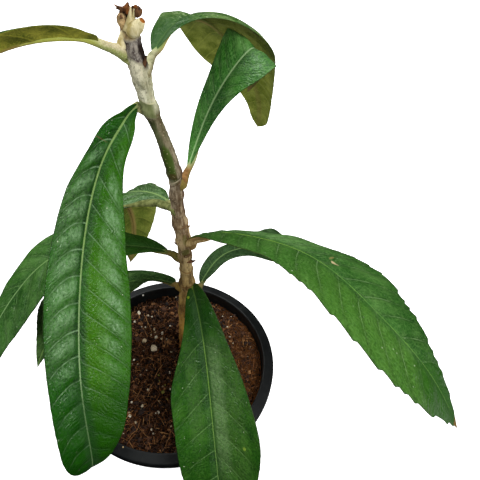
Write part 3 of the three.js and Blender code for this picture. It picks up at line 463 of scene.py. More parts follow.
# ---------------------------------------------------------------- leaves
# midrib x, y, z (mm) | upper face direction | half-width left, right (mm) | fold, curl left, curl right (radians)
LEAVES = {
    "leaf_top_left": {"petiole": (3.3, 2.5), "stations": [
        [-2.3, 21.7, 378.8, 0.426, 0.533, 0.731, 0.0, 0.0, 1.10, 0.51, 0.32],
        [-8.0, 12.7, 388.4, 0.396, 0.488, 0.777, 0.0, 0.0, 1.10, 0.51, 0.32],
        [-14.4, 5.7, 395.1, 0.319, 0.409, 0.855, 4.7, 2.8, 1.10, 0.52, 0.32],
        [-23.6, -1.4, 400.4, 0.161, 0.298, 0.941, 10.2, 5.6, 1.10, 0.52, 0.32],
        [-36.3, -7.9, 402.5, -0.080, 0.178, 0.981, 12.7, 7.0, 1.10, 0.52, 0.32],
        [-49.9, -13.5, 400.5, -0.293, 0.092, 0.952, 14.5, 8.5, 1.10, 0.52, 0.31],
        [-64.0, -18.4, 394.9, -0.468, 0.033, 0.883, 16.8, 11.2, 1.10, 0.52, 0.31],
        [-77.2, -21.8, 386.8, -0.571, 0.008, 0.821, 19.6, 15.1, 1.10, 0.52, 0.31],
        [-90.1, -23.6, 377.0, -0.638, 0.001, 0.770, 21.5, 18.7, 1.11, 0.52, 0.31],
        [-103.4, -23.4, 365.1, -0.683, 0.005, 0.731, 20.8, 19.3, 1.12, 0.52, 0.31],
        [-116.5, -21.0, 352.4, -0.711, 0.014, 0.703, 17.5, 16.8, 1.12, 0.51, 0.31],
        [-128.3, -16.2, 340.0, -0.730, 0.025, 0.683, 13.1, 12.9, 1.13, 0.51, 0.30],
        [-140.3, -8.8, 326.5, -0.742, 0.036, 0.669, 8.0, 7.9, 1.13, 0.51, 0.30],
        [-149.7, -1.5, 315.6, -0.747, 0.042, 0.664, 3.4, 3.4, 1.14, 0.51, 0.30],
        [-154.8, 2.9, 309.5, -0.748, 0.044, 0.663, 0.0, 0.0, 1.14, 0.50, 0.30],
    ]},
    "leaf_top_right": {"petiole": (2.7, 2.2), "stations": [
        [6.3, 21.7, 368.7, -0.524, 0.086, 0.847, 0.0, 0.0, 0.39, 0.40, 0.74],
        [7.4, 35.6, 367.9, -0.506, 0.101, 0.857, 0.0, 0.0, 0.39, 0.39, 0.78],
        [9.2, 48.2, 367.2, -0.483, 0.137, 0.865, 3.9, 3.6, 0.38, 0.40, 0.82],
        [12.5, 62.4, 366.5, -0.434, 0.197, 0.879, 9.7, 9.0, 0.37, 0.40, 0.87],
        [18.2, 76.6, 365.3, -0.294, 0.329, 0.897, 15.7, 15.9, 0.36, 0.41, 0.93],
        [25.3, 88.8, 361.1, -0.040, 0.523, 0.851, 22.8, 27.8, 0.34, 0.43, 0.99],
        [33.1, 99.8, 351.8, 0.168, 0.663, 0.729, 30.4, 42.5, 0.32, 0.45, 1.05],
        [40.5, 109.2, 338.9, 0.281, 0.747, 0.602, 35.0, 45.8, 0.30, 0.49, 1.10],
        [47.4, 116.6, 324.3, 0.336, 0.788, 0.516, 36.5, 39.6, 0.28, 0.52, 1.14],
        [54.6, 124.3, 306.8, 0.355, 0.796, 0.490, 34.2, 30.8, 0.26, 0.56, 1.17],
        [61.6, 132.6, 287.9, 0.366, 0.805, 0.468, 25.6, 22.2, 0.24, 0.59, 1.18],
        [66.4, 140.8, 269.1, 0.377, 0.826, 0.419, 16.4, 15.9, 0.23, 0.62, 1.19],
        [68.6, 149.6, 248.2, 0.381, 0.846, 0.372, 9.4, 10.8, 0.22, 0.64, 1.19],
        [68.6, 156.6, 230.9, 0.381, 0.860, 0.338, 5.5, 7.2, 0.21, 0.65, 1.19],
        [68.0, 160.5, 221.1, 0.380, 0.867, 0.323, 0.0, 0.0, 0.21, 0.66, 1.19],
    ]},
    "leaf_upper_right": {"petiole": (2.9, 2.4), "stations": [
        [18.9, 21.7, 288.7, -0.518, 0.155, 0.841, 0.0, 0.0, 0.26, 0.41, 0.12],
        [20.6, 34.2, 287.5, -0.532, 0.043, 0.845, 0.0, 0.0, 0.25, 0.42, 0.13],
        [22.8, 43.0, 290.0, -0.618, -0.242, 0.748, 2.8, 2.6, 0.25, 0.42, 0.15],
        [26.1, 50.7, 297.3, -0.710, -0.411, 0.572, 6.7, 6.2, 0.24, 0.42, 0.16],
        [31.0, 56.3, 309.8, -0.741, -0.464, 0.485, 9.9, 9.1, 0.23, 0.42, 0.19],
        [37.1, 60.0, 323.0, -0.717, -0.461, 0.523, 12.6, 12.0, 0.22, 0.42, 0.22],
        [43.9, 63.9, 334.2, -0.650, -0.452, 0.611, 15.6, 15.5, 0.21, 0.42, 0.26],
        [50.3, 67.5, 342.6, -0.584, -0.450, 0.675, 19.0, 19.1, 0.20, 0.42, 0.30],
        [55.8, 70.1, 348.6, -0.440, -0.415, 0.796, 21.6, 21.0, 0.19, 0.42, 0.34],
        [60.1, 72.9, 350.8, 0.146, -0.063, 0.987, 21.5, 19.8, 0.18, 0.41, 0.37],
        [62.7, 76.3, 348.0, 0.681, 0.496, 0.539, 17.8, 16.0, 0.17, 0.41, 0.41],
        [63.2, 80.3, 340.1, 0.733, 0.638, 0.235, 12.6, 11.5, 0.16, 0.40, 0.43],
        [61.9, 85.0, 327.1, 0.736, 0.665, 0.127, 7.2, 6.8, 0.16, 0.40, 0.45],
        [59.9, 88.9, 314.3, 0.737, 0.671, 0.080, 3.0, 2.9, 0.15, 0.40, 0.46],
        [58.4, 91.2, 306.5, 0.737, 0.673, 0.061, 0.0, 0.0, 0.15, 0.40, 0.46],
    ]},
    "leaf_mid_left": {"petiole": (2.6, 2.0), "stations": [
        [14.2, 21.7, 265.5, -0.035, 0.298, 0.954, 0.0, 0.0, 0.12, 0.50, 0.41],
        [9.2, 32.3, 262.0, -0.037, 0.307, 0.951, 0.0, 0.0, 0.12, 0.50, 0.41],
        [3.9, 40.1, 259.2, -0.048, 0.326, 0.944, 4.5, 3.4, 0.12, 0.50, 0.41],
        [-3.2, 47.3, 256.1, -0.081, 0.362, 0.929, 12.8, 8.8, 0.12, 0.49, 0.41],
        [-12.3, 53.0, 252.5, -0.168, 0.421, 0.892, 21.8, 14.1, 0.12, 0.48, 0.41],
        [-20.6, 57.2, 248.0, -0.299, 0.499, 0.813, 28.6, 18.7, 0.13, 0.47, 0.41],
        [-27.1, 61.2, 241.9, -0.435, 0.602, 0.669, 32.0, 22.8, 0.14, 0.45, 0.40],
        [-30.5, 65.0, 234.8, -0.503, 0.709, 0.495, 32.3, 25.9, 0.15, 0.43, 0.40],
        [-31.2, 69.1, 226.3, -0.504, 0.802, 0.320, 30.2, 26.5, 0.16, 0.41, 0.40],
        [-30.2, 72.6, 215.8, -0.481, 0.862, 0.159, 26.2, 24.1, 0.17, 0.39, 0.40],
        [-29.1, 74.4, 203.8, -0.463, 0.887, 0.014, 20.8, 20.6, 0.18, 0.37, 0.39],
        [-29.2, 73.7, 191.3, -0.459, 0.882, -0.102, 15.3, 16.7, 0.19, 0.35, 0.39],
        [-30.9, 70.5, 177.1, -0.463, 0.869, -0.176, 9.2, 11.0, 0.19, 0.34, 0.40],
        [-33.2, 66.6, 165.3, -0.465, 0.861, -0.206, 3.9, 4.9, 0.20, 0.33, 0.40],
        [-34.8, 64.0, 158.6, -0.464, 0.859, -0.214, 0.0, 0.0, 0.20, 0.33, 0.40],
    ]},
    "leaf_front_left": {"petiole": (2.6, 2.0), "stations": [
        [-0.1, 21.7, 345.1, -0.692, -0.603, 0.397, 0.0, 0.0, 0.27, 0.27, 0.22],
        [0.3, 22.4, 347.6, -0.278, -0.960, -0.023, 0.0, 0.0, 0.27, 0.27, 0.22],
        [-1.7, 20.7, 347.3, 0.689, -0.724, 0.026, 3.2, 3.2, 0.27, 0.26, 0.23],
        [-6.7, 15.3, 343.4, 0.725, -0.684, 0.076, 8.0, 8.4, 0.26, 0.26, 0.23],
        [-15.1, 4.3, 333.9, 0.759, -0.632, 0.159, 13.0, 13.9, 0.26, 0.26, 0.23],
        [-22.6, -10.7, 320.0, 0.784, -0.558, 0.272, 18.6, 18.7, 0.26, 0.26, 0.24],
        [-27.7, -28.8, 302.5, 0.776, -0.516, 0.363, 24.7, 22.2, 0.26, 0.25, 0.24],
        [-30.6, -47.7, 283.6, 0.752, -0.511, 0.417, 29.4, 23.3, 0.25, 0.25, 0.25],
        [-32.0, -66.4, 263.8, 0.721, -0.530, 0.447, 31.6, 22.3, 0.25, 0.25, 0.25],
        [-32.0, -84.2, 242.3, 0.687, -0.568, 0.453, 30.2, 20.1, 0.24, 0.24, 0.26],
        [-30.7, -98.4, 220.7, 0.663, -0.650, 0.371, 25.5, 19.0, 0.23, 0.24, 0.27],
        [-30.5, -105.8, 201.4, 0.643, -0.755, 0.126, 19.3, 17.5, 0.22, 0.24, 0.28],
        [-32.7, -107.0, 182.1, 0.592, -0.786, -0.179, 11.7, 12.0, 0.21, 0.24, 0.28],
        [-36.1, -104.3, 167.6, 0.543, -0.767, -0.341, 4.9, 5.0, 0.21, 0.24, 0.29],
        [-38.5, -101.7, 159.7, 0.524, -0.761, -0.383, 0.0, 0.0, 0.20, 0.24, 0.29],
    ]},
    "leaf_low_left": {"petiole": (2.4, 1.9), "stations": [
        [11.4, 21.7, 218.6, -0.014, 0.330, 0.944, 0.0, 0.0, 0.26, 0.24, 0.26],
        [6.1, 27.8, 216.4, 0.011, 0.313, 0.950, 0.0, 0.0, 0.25, 0.24, 0.26],
        [-0.8, 31.6, 215.4, 0.051, 0.301, 0.952, 3.7, 3.9, 0.25, 0.24, 0.26],
        [-11.6, 34.1, 215.5, 0.081, 0.296, 0.952, 9.5, 9.4, 0.24, 0.24, 0.26],
        [-27.3, 34.3, 216.9, 0.091, 0.292, 0.952, 15.1, 14.7, 0.23, 0.25, 0.26],
        [-43.6, 32.8, 218.7, 0.054, 0.280, 0.958, 20.4, 21.1, 0.21, 0.25, 0.27],
        [-59.5, 29.6, 219.6, -0.082, 0.238, 0.968, 24.9, 26.2, 0.20, 0.26, 0.27],
        [-73.6, 24.1, 217.9, -0.301, 0.131, 0.945, 27.7, 25.1, 0.18, 0.26, 0.28],
        [-86.5, 15.6, 212.9, -0.472, -0.003, 0.882, 29.8, 20.9, 0.16, 0.27, 0.28],
        [-99.0, 3.4, 204.4, -0.551, -0.104, 0.828, 30.7, 16.7, 0.14, 0.28, 0.29],
        [-110.4, -11.3, 193.7, -0.596, -0.190, 0.780, 27.8, 13.6, 0.12, 0.29, 0.29],
        [-118.9, -27.0, 181.8, -0.630, -0.286, 0.722, 20.9, 11.0, 0.11, 0.29, 0.29],
        [-125.2, -45.0, 167.5, -0.645, -0.365, 0.671, 11.7, 7.2, 0.09, 0.30, 0.29],
        [-128.8, -59.9, 155.2, -0.646, -0.404, 0.648, 4.4, 3.2, 0.09, 0.30, 0.30],
        [-130.3, -68.5, 148.0, -0.644, -0.415, 0.642, 0.0, 0.0, 0.08, 0.31, 0.30],
    ]},
    "leaf_front": {"petiole": (2.4, 1.9), "stations": [
        [18.5, 21.7, 184.2, -0.705, 0.709, 0.017, 0.0, 0.0, 0.26, 0.24, 0.26],
        [18.7, 21.1, 189.2, -0.720, 0.526, 0.452, 0.0, 0.0, 0.26, 0.24, 0.26],
        [19.9, 17.0, 191.6, -0.642, 0.025, 0.766, 3.7, 3.3, 0.25, 0.24, 0.26],
        [22.5, 7.5, 191.6, -0.574, -0.243, 0.782, 9.3, 8.0, 0.25, 0.24, 0.26],
        [26.6, -9.1, 187.9, -0.541, -0.337, 0.771, 15.0, 13.2, 0.25, 0.24, 0.26],
        [30.4, -28.2, 181.9, -0.522, -0.363, 0.771, 20.5, 19.9, 0.25, 0.25, 0.25],
        [33.6, -47.8, 174.3, -0.501, -0.404, 0.766, 26.7, 26.9, 0.25, 0.25, 0.25],
        [36.1, -65.7, 165.7, -0.477, -0.462, 0.747, 32.9, 29.1, 0.25, 0.25, 0.25],
        [38.4, -81.9, 156.1, -0.450, -0.546, 0.707, 35.9, 28.6, 0.25, 0.25, 0.25],
        [40.6, -96.6, 144.5, -0.421, -0.650, 0.633, 32.1, 27.2, 0.25, 0.26, 0.25],
        [42.3, -108.1, 131.5, -0.392, -0.788, 0.474, 24.0, 23.3, 0.25, 0.26, 0.24],
        [43.4, -114.2, 117.8, -0.371, -0.909, 0.188, 16.2, 17.4, 0.25, 0.26, 0.24],
        [44.1, -115.3, 101.7, -0.359, -0.930, -0.078, 9.2, 10.2, 0.25, 0.26, 0.24],
        [44.5, -113.2, 88.1, -0.353, -0.915, -0.197, 3.8, 4.2, 0.25, 0.26, 0.24],
        [44.7, -111.1, 80.2, -0.350, -0.909, -0.227, 0.0, 0.0, 0.25, 0.26, 0.24],
    ]},
    "leaf_long_right": {"petiole": (2.6, 2.1), "stations": [
        [21.9, 21.7, 231.8, -0.370, 0.808, 0.458, 0.0, 0.0, 0.11, 0.27, 0.31],
        [26.1, 12.7, 250.4, -0.328, 0.791, 0.516, 0.0, 0.0, 0.11, 0.28, 0.30],
        [31.9, 4.7, 264.6, -0.262, 0.749, 0.608, 3.7, 5.5, 0.11, 0.28, 0.30],
        [41.5, -4.9, 278.0, -0.156, 0.688, 0.709, 8.6, 14.3, 0.11, 0.29, 0.29],
        [55.5, -16.2, 289.4, -0.036, 0.629, 0.777, 12.5, 20.5, 0.11, 0.30, 0.29],
        [70.0, -27.5, 298.2, 0.035, 0.601, 0.799, 16.4, 22.8, 0.11, 0.30, 0.28],
        [83.8, -39.6, 305.3, 0.137, 0.532, 0.836, 21.7, 23.8, 0.11, 0.30, 0.28],
        [96.1, -52.1, 309.4, 0.266, 0.410, 0.873, 27.9, 25.9, 0.12, 0.30, 0.28],
        [107.5, -65.8, 310.5, 0.377, 0.280, 0.883, 30.8, 27.9, 0.12, 0.30, 0.28],
        [119.3, -80.2, 308.6, 0.453, 0.182, 0.873, 26.9, 28.0, 0.12, 0.30, 0.28],
        [131.1, -93.2, 304.0, 0.541, 0.078, 0.838, 20.1, 27.4, 0.11, 0.30, 0.29],
        [141.2, -103.2, 296.6, 0.674, -0.058, 0.736, 14.0, 23.6, 0.10, 0.30, 0.29],
        [150.0, -111.3, 285.5, 0.785, -0.166, 0.597, 7.9, 12.7, 0.09, 0.30, 0.30],
        [156.0, -116.4, 274.9, 0.831, -0.213, 0.514, 3.2, 4.0, 0.08, 0.30, 0.30],
        [158.9, -118.8, 268.4, 0.841, -0.226, 0.491, 0.0, 0.0, 0.08, 0.30, 0.30],
    ]},
    "leaf_back_right": {"petiole": (2.2, 1.7), "stations": [
        [24.3, 21.7, 183.1, -0.240, 0.554, 0.797, 0.0, 0.0, 0.21, 0.29, 0.24],
        [24.9, 26.8, 179.9, -0.248, 0.447, 0.860, 0.0, 0.0, 0.20, 0.29, 0.24],
        [26.3, 32.9, 177.8, -0.268, 0.317, 0.910, 3.0, 3.3, 0.20, 0.29, 0.24],
        [29.3, 41.8, 176.2, -0.273, 0.241, 0.931, 6.7, 7.1, 0.20, 0.29, 0.25],
        [34.9, 53.3, 174.9, -0.223, 0.262, 0.939, 8.8, 9.5, 0.19, 0.28, 0.25],
        [42.7, 63.3, 172.7, -0.075, 0.370, 0.926, 9.7, 12.4, 0.19, 0.28, 0.26],
        [52.7, 70.9, 169.3, 0.073, 0.415, 0.907, 10.8, 17.5, 0.18, 0.27, 0.26],
        [63.3, 76.4, 165.5, 0.142, 0.387, 0.911, 13.0, 24.7, 0.18, 0.26, 0.27],
        [74.2, 81.4, 161.5, 0.202, 0.349, 0.915, 16.2, 29.8, 0.18, 0.25, 0.27],
        [84.9, 86.1, 156.8, 0.300, 0.326, 0.896, 19.4, 27.7, 0.19, 0.24, 0.28],
        [94.1, 90.5, 151.2, 0.492, 0.370, 0.788, 20.3, 21.4, 0.19, 0.23, 0.28],
        [99.1, 94.1, 144.2, 0.719, 0.521, 0.459, 17.5, 15.1, 0.20, 0.22, 0.28],
        [100.0, 97.2, 134.7, 0.768, 0.633, 0.095, 10.8, 8.6, 0.21, 0.21, 0.28],
        [98.2, 99.2, 126.0, 0.750, 0.659, -0.061, 4.3, 3.5, 0.21, 0.20, 0.28],
        [96.4, 100.3, 120.8, 0.745, 0.660, -0.101, 0.0, 0.0, 0.21, 0.20, 0.28],
    ]},
    "leaf_lowest_left": {"petiole": (2.3, 1.8), "stations": [
        [10.4, 21.7, 184.1, -0.080, 0.745, 0.662, 0.0, 0.0, 0.24, 0.24, 0.26],
        [5.8, 33.6, 170.3, -0.077, 0.728, 0.681, 0.0, 0.0, 0.24, 0.24, 0.26],
        [0.8, 42.3, 160.9, -0.060, 0.695, 0.717, 3.8, 3.7, 0.24, 0.24, 0.26],
        [-6.1, 49.6, 153.9, -0.012, 0.650, 0.760, 9.9, 9.4, 0.24, 0.24, 0.26],
        [-15.5, 53.6, 151.0, 0.019, 0.631, 0.776, 15.6, 14.7, 0.23, 0.25, 0.27],
        [-25.8, 52.8, 151.2, -0.077, 0.608, 0.790, 20.6, 18.9, 0.23, 0.25, 0.26],
        [-36.4, 47.7, 153.6, -0.106, 0.579, 0.808, 25.1, 22.8, 0.23, 0.25, 0.26],
        [-46.2, 39.8, 158.1, -0.071, 0.586, 0.807, 28.5, 26.3, 0.23, 0.25, 0.26],
        [-55.2, 30.2, 164.6, -0.041, 0.589, 0.807, 29.2, 28.5, 0.23, 0.26, 0.26],
        [-62.9, 18.2, 172.8, -0.028, 0.568, 0.822, 25.9, 27.4, 0.23, 0.26, 0.26],
        [-68.6, 4.4, 181.6, -0.031, 0.502, 0.865, 20.0, 21.8, 0.23, 0.26, 0.25],
        [-71.7, -10.8, 189.2, -0.033, 0.397, 0.917, 14.0, 14.7, 0.23, 0.26, 0.25],
        [-72.9, -29.2, 196.0, -0.026, 0.307, 0.951, 8.0, 7.9, 0.24, 0.26, 0.25],
        [-72.9, -45.2, 200.7, -0.017, 0.265, 0.964, 3.3, 3.0, 0.24, 0.26, 0.25],
        [-72.6, -54.5, 203.1, -0.013, 0.254, 0.967, 0.0, 0.0, 0.24, 0.26, 0.24],
    ]},
}
# seed, quilting height and vein pitch in mm, tooth height, margin waves; colours dark / middle / light; roughness and
# specular level; petiole colours shade / light / underneath; midrib colours near the stem / near the tip
STYLE = {
    "leaf_front_left": dict(seed=1, quilt=1.7, veinw=0.046, veinr=0.55, wrinkles=(35.0, 0.42, 0.04, 0.26, (160, 192, 150)), vfade=(0.6, 1.0, 1, 0.2), half=(0.35, 0.95), neark=0.17, pitch=14.6, teeth=0.2, wave=0.4, edge=0.1, cols=((6, 52, 2), (20, 80, 2), (46, 108, 6)), gloss=0.32, spec=0.52, sink=1.08,
                            # front-left leaf: cell is painted highlight and hollow shade, bands are mostly painted
                            # highlight, and the last spot is partly painted shade near the pot
                            cell=(18, 44, 120, 180, (136, 172, 128), 0.9, 0.6),
                            bands=((30, 60, 125, 165, 2, 6, 19, 24, (106, 144, 88), 0.4), (70, 100, 170, 200, -20, -14, -5, -2, (76, 128, 4), 0.5), (40, 60, 85, 115, -24, -20, -12, -7, (106, 148, 92), 0.3)),
                            vein=0.8, vcol=(128, 164, 118), vein_shade=0.3, specks=1.0, ribw=0.72, sweep=((0.82, 0.12), (-0.2, 0.86)), tint=(-1, (56, 110, 2), 0.6), grain=0.5, petk=0.6,
                            spots=((28.5, 9.5, 0.35, 6.4, (104, 84, 50), 0.65), (214, 0, 52, 60, (12, 64, 1), 0.62)),
                            rib=((140, 172, 96), (140, 170, 116)), turn=(-3, 4), umid=0.0, under=(58, 84, 22), under_light=(78, 104, 34), pet=((112, 112, 62), (172, 168, 118), (104, 108, 60))),
    "leaf_front": dict(seed=2, quilt=0.8, pitch=18, teeth=0.3, wave=0.9, edge=0.15, grain=0.4, cols=((14, 58, 5), (32, 80, 12), (58, 104, 26)), gloss=0.33, spec=0.5, wrinkles=(34.0, 0, 0.08, 0.2, (104, 136, 76)), vein=0.45, vein_shade=0.36,
                       # front leaf: bands are painted highlight beside the midrib, and the first spot is painted shade
                       # from the stem at the base
                       specks=0.8, bands=((45, 75, 115, 150, -16, -10, -4, -1, (124, 152, 106), 0.65), (40, 70, 130, 165, -30, -24, -3, 0, (84, 120, 54), 0.4), (40, 70, 100, 140, 4, 8, 14, 18, (86, 116, 66), 0.35)), ribw=0.55, rib=((108, 146, 56), (96, 130, 66)),
                       spots=((30, 0, 22, 14, (16, 66, 6), 0.5), (8.6, 3.0, 1.2, 1.0, (168, 196, 40), 0.9), (17.5, 5.0, 1.1, 1.0, (158, 190, 44), 0.8), (122, -24.3, 1.2, 1.2, (150, 178, 60), 0.5)), pet=((130, 100, 46), (176, 140, 76), (120, 96, 50))),
    "leaf_long_right": dict(seed=3, foot=0.5, start=(29.0, 5.0, 2.3), turn=(2, 9), petk=1.0, quilt=1.1, pitch=13.5, teeth=2.0, wave=0.8, cols=((24, 66, 16), (50, 92, 34), (80, 118, 56)), gloss=0.42, spec=0.14, wrinkles=(30.0, 0, 0.10, 0.14, (124, 156, 92)), vein=0.4, vein_shade=0.42, vcol=(134, 166, 112), neark=0.24, grain=0.4, tipk=0.6,
                            bands=((120, 160, 250, 260, 3, 8, 30, 34, (72, 112, 30), 0.3), (8, 24, 90, 150, -24, -18, -4, -1, (112, 150, 92), 0.55), (8, 20, 60, 90, -4, -1, 30, 34, (84, 124, 60), 0.4)),
                            spots=((139, -6.0, 2.6, 0.9, (176, 160, 120), 0.9), (135, -8.0, 0.8, 1.8, (120, 110, 66), 0.7), (226, 4, 26, 16, (34, 78, 14), 0.75), (241.5, 0.0, 3.4, 6.0, (120, 88, 40), 0.9)),
                            specks=0.5, ribw=0.7, tint=(1, (50, 92, 24), 0.45), rib=((126, 168, 58), (66, 112, 46)),
                            pet=((146, 112, 62), (188, 154, 98), (142, 112, 62))),
    "leaf_top_left": dict(seed=4, start=(21.5, 3.5, 1.25), sink=-0.55, midk=(32, 42, 46, 66, 1.35), quilt=0.6, pitch=16, teeth=0.2, wave=0.6, edge=0.1, cols=((24, 66, 10), (44, 88, 14), (68, 110, 26)), gloss=0.44, spec=0.25, vein=0.35, specks=0.2,
                          under=(78, 86, 16), under_light=(156, 152, 54), rib=((150, 166, 76), (150, 150, 70)), urib=((180, 180, 74), (146, 140, 60)),
                          pet=((176, 166, 126), (216, 204, 168), (132, 150, 52))),
    "leaf_top_right": dict(seed=5, quilt=0.9, pitch=15, teeth=0.3, wave=0.8, cols=((28, 74, 12), (66, 106, 40), (124, 150, 88)), wrinkles=(30.0, 0, 0.4, 0.4, (172, 190, 146)), gloss=0.40, spec=0.3, vein=0.5, specks=0.3,
                           under=(112, 128, 30), under_light=(176, 186, 82), ugrad=(70, 135, 0.7), umid=0.3, tipk=0.5, rib=((126, 160, 84), (120, 150, 80)), urib=((196, 170, 100), (136, 136, 56)), spots=((22, 0, 40, 30, (22, 66, 12), 0.8),), 
                           pet=((126, 128, 92), (172, 168, 132), (110, 96, 64))),
    "leaf_upper_right": dict(seed=6, foot=-6.0, quilt=0.5, pitch=8, teeth=0.3, wave=0.4, edge=0.1, cols=((14, 80, 4), (54, 114, 30), (102, 148, 78)), wrinkles=(24.0, 0, 0.15, 0.24, (130, 166, 112)), gloss=0.38, spec=0.36, vein=0.55, vein_shade=0.4, specks=1.0,
                             ribw=0.8, rib=((146, 180, 122), (150, 180, 138)), sheen=(78, 95, (56, 84, 58), 0.6), pet=((104, 72, 34), (146, 108, 60), (120, 112, 48))),
    "leaf_mid_left": dict(seed=7, quilt=1.0, pitch=12, teeth=0.4, wave=1.8, cols=((16, 56, 6), (54, 94, 34), (118, 146, 98)), wrinkles=(30.0, 0, 0.3, 0.4, (158, 182, 138)), vein_shade=0.55, gloss=0.42, spec=0.3, vein=0.4, specks=0.3,
                          under=(84, 102, 26), under_light=(134, 142, 60), rib=((126, 156, 90), (126, 156, 90)), pet=((110, 116, 62), (152, 148, 92), (112, 110, 52))),
    "leaf_low_left": dict(seed=8, quilt=1.1, pitch=14, teeth=0.3, wave=0.8, cols=((16, 60, 6), (42, 88, 20), (82, 122, 58)), gloss=0.44, spec=0.2, vein=0.45, specks=1.0,
                          spots=((34, 0, 42, 30, (30, 66, 16), 0.7),), wrinkles=(30.0, 0, 0.07, 0.1, (120, 156, 96)), vein_shade=0.42, ribw=0.8, rib=((110, 146, 76), (118, 152, 96)), pet=((92, 88, 34), (132, 116, 56), (110, 78, 38))),
    "leaf_back_right": dict(seed=9, quilt=0.7, pitch=14, teeth=0.3, wave=0.9, cols=((16, 42, 12), (36, 64, 28), (70, 98, 58)), gloss=0.48, spec=0.2, vein=0.3, specks=0.3,
                            ribw=0.7, rib=((92, 120, 66), (92, 120, 66)), pet=((92, 92, 44), (132, 120, 70), (92, 84, 44))),
    "leaf_lowest_left": dict(seed=10, petk=1.25, quilt=0.7, pitch=14, teeth=0.3, wave=0.8, cols=((18, 46, 10), (38, 70, 22), (78, 106, 56)), gloss=0.55, spec=0.1, vein=0.3, specks=0.2,
                             ribw=0.7, rib=((90, 118, 58), (90, 118, 58)), pet=((136, 108, 44), (168, 136, 64), (124, 98, 44))),
}


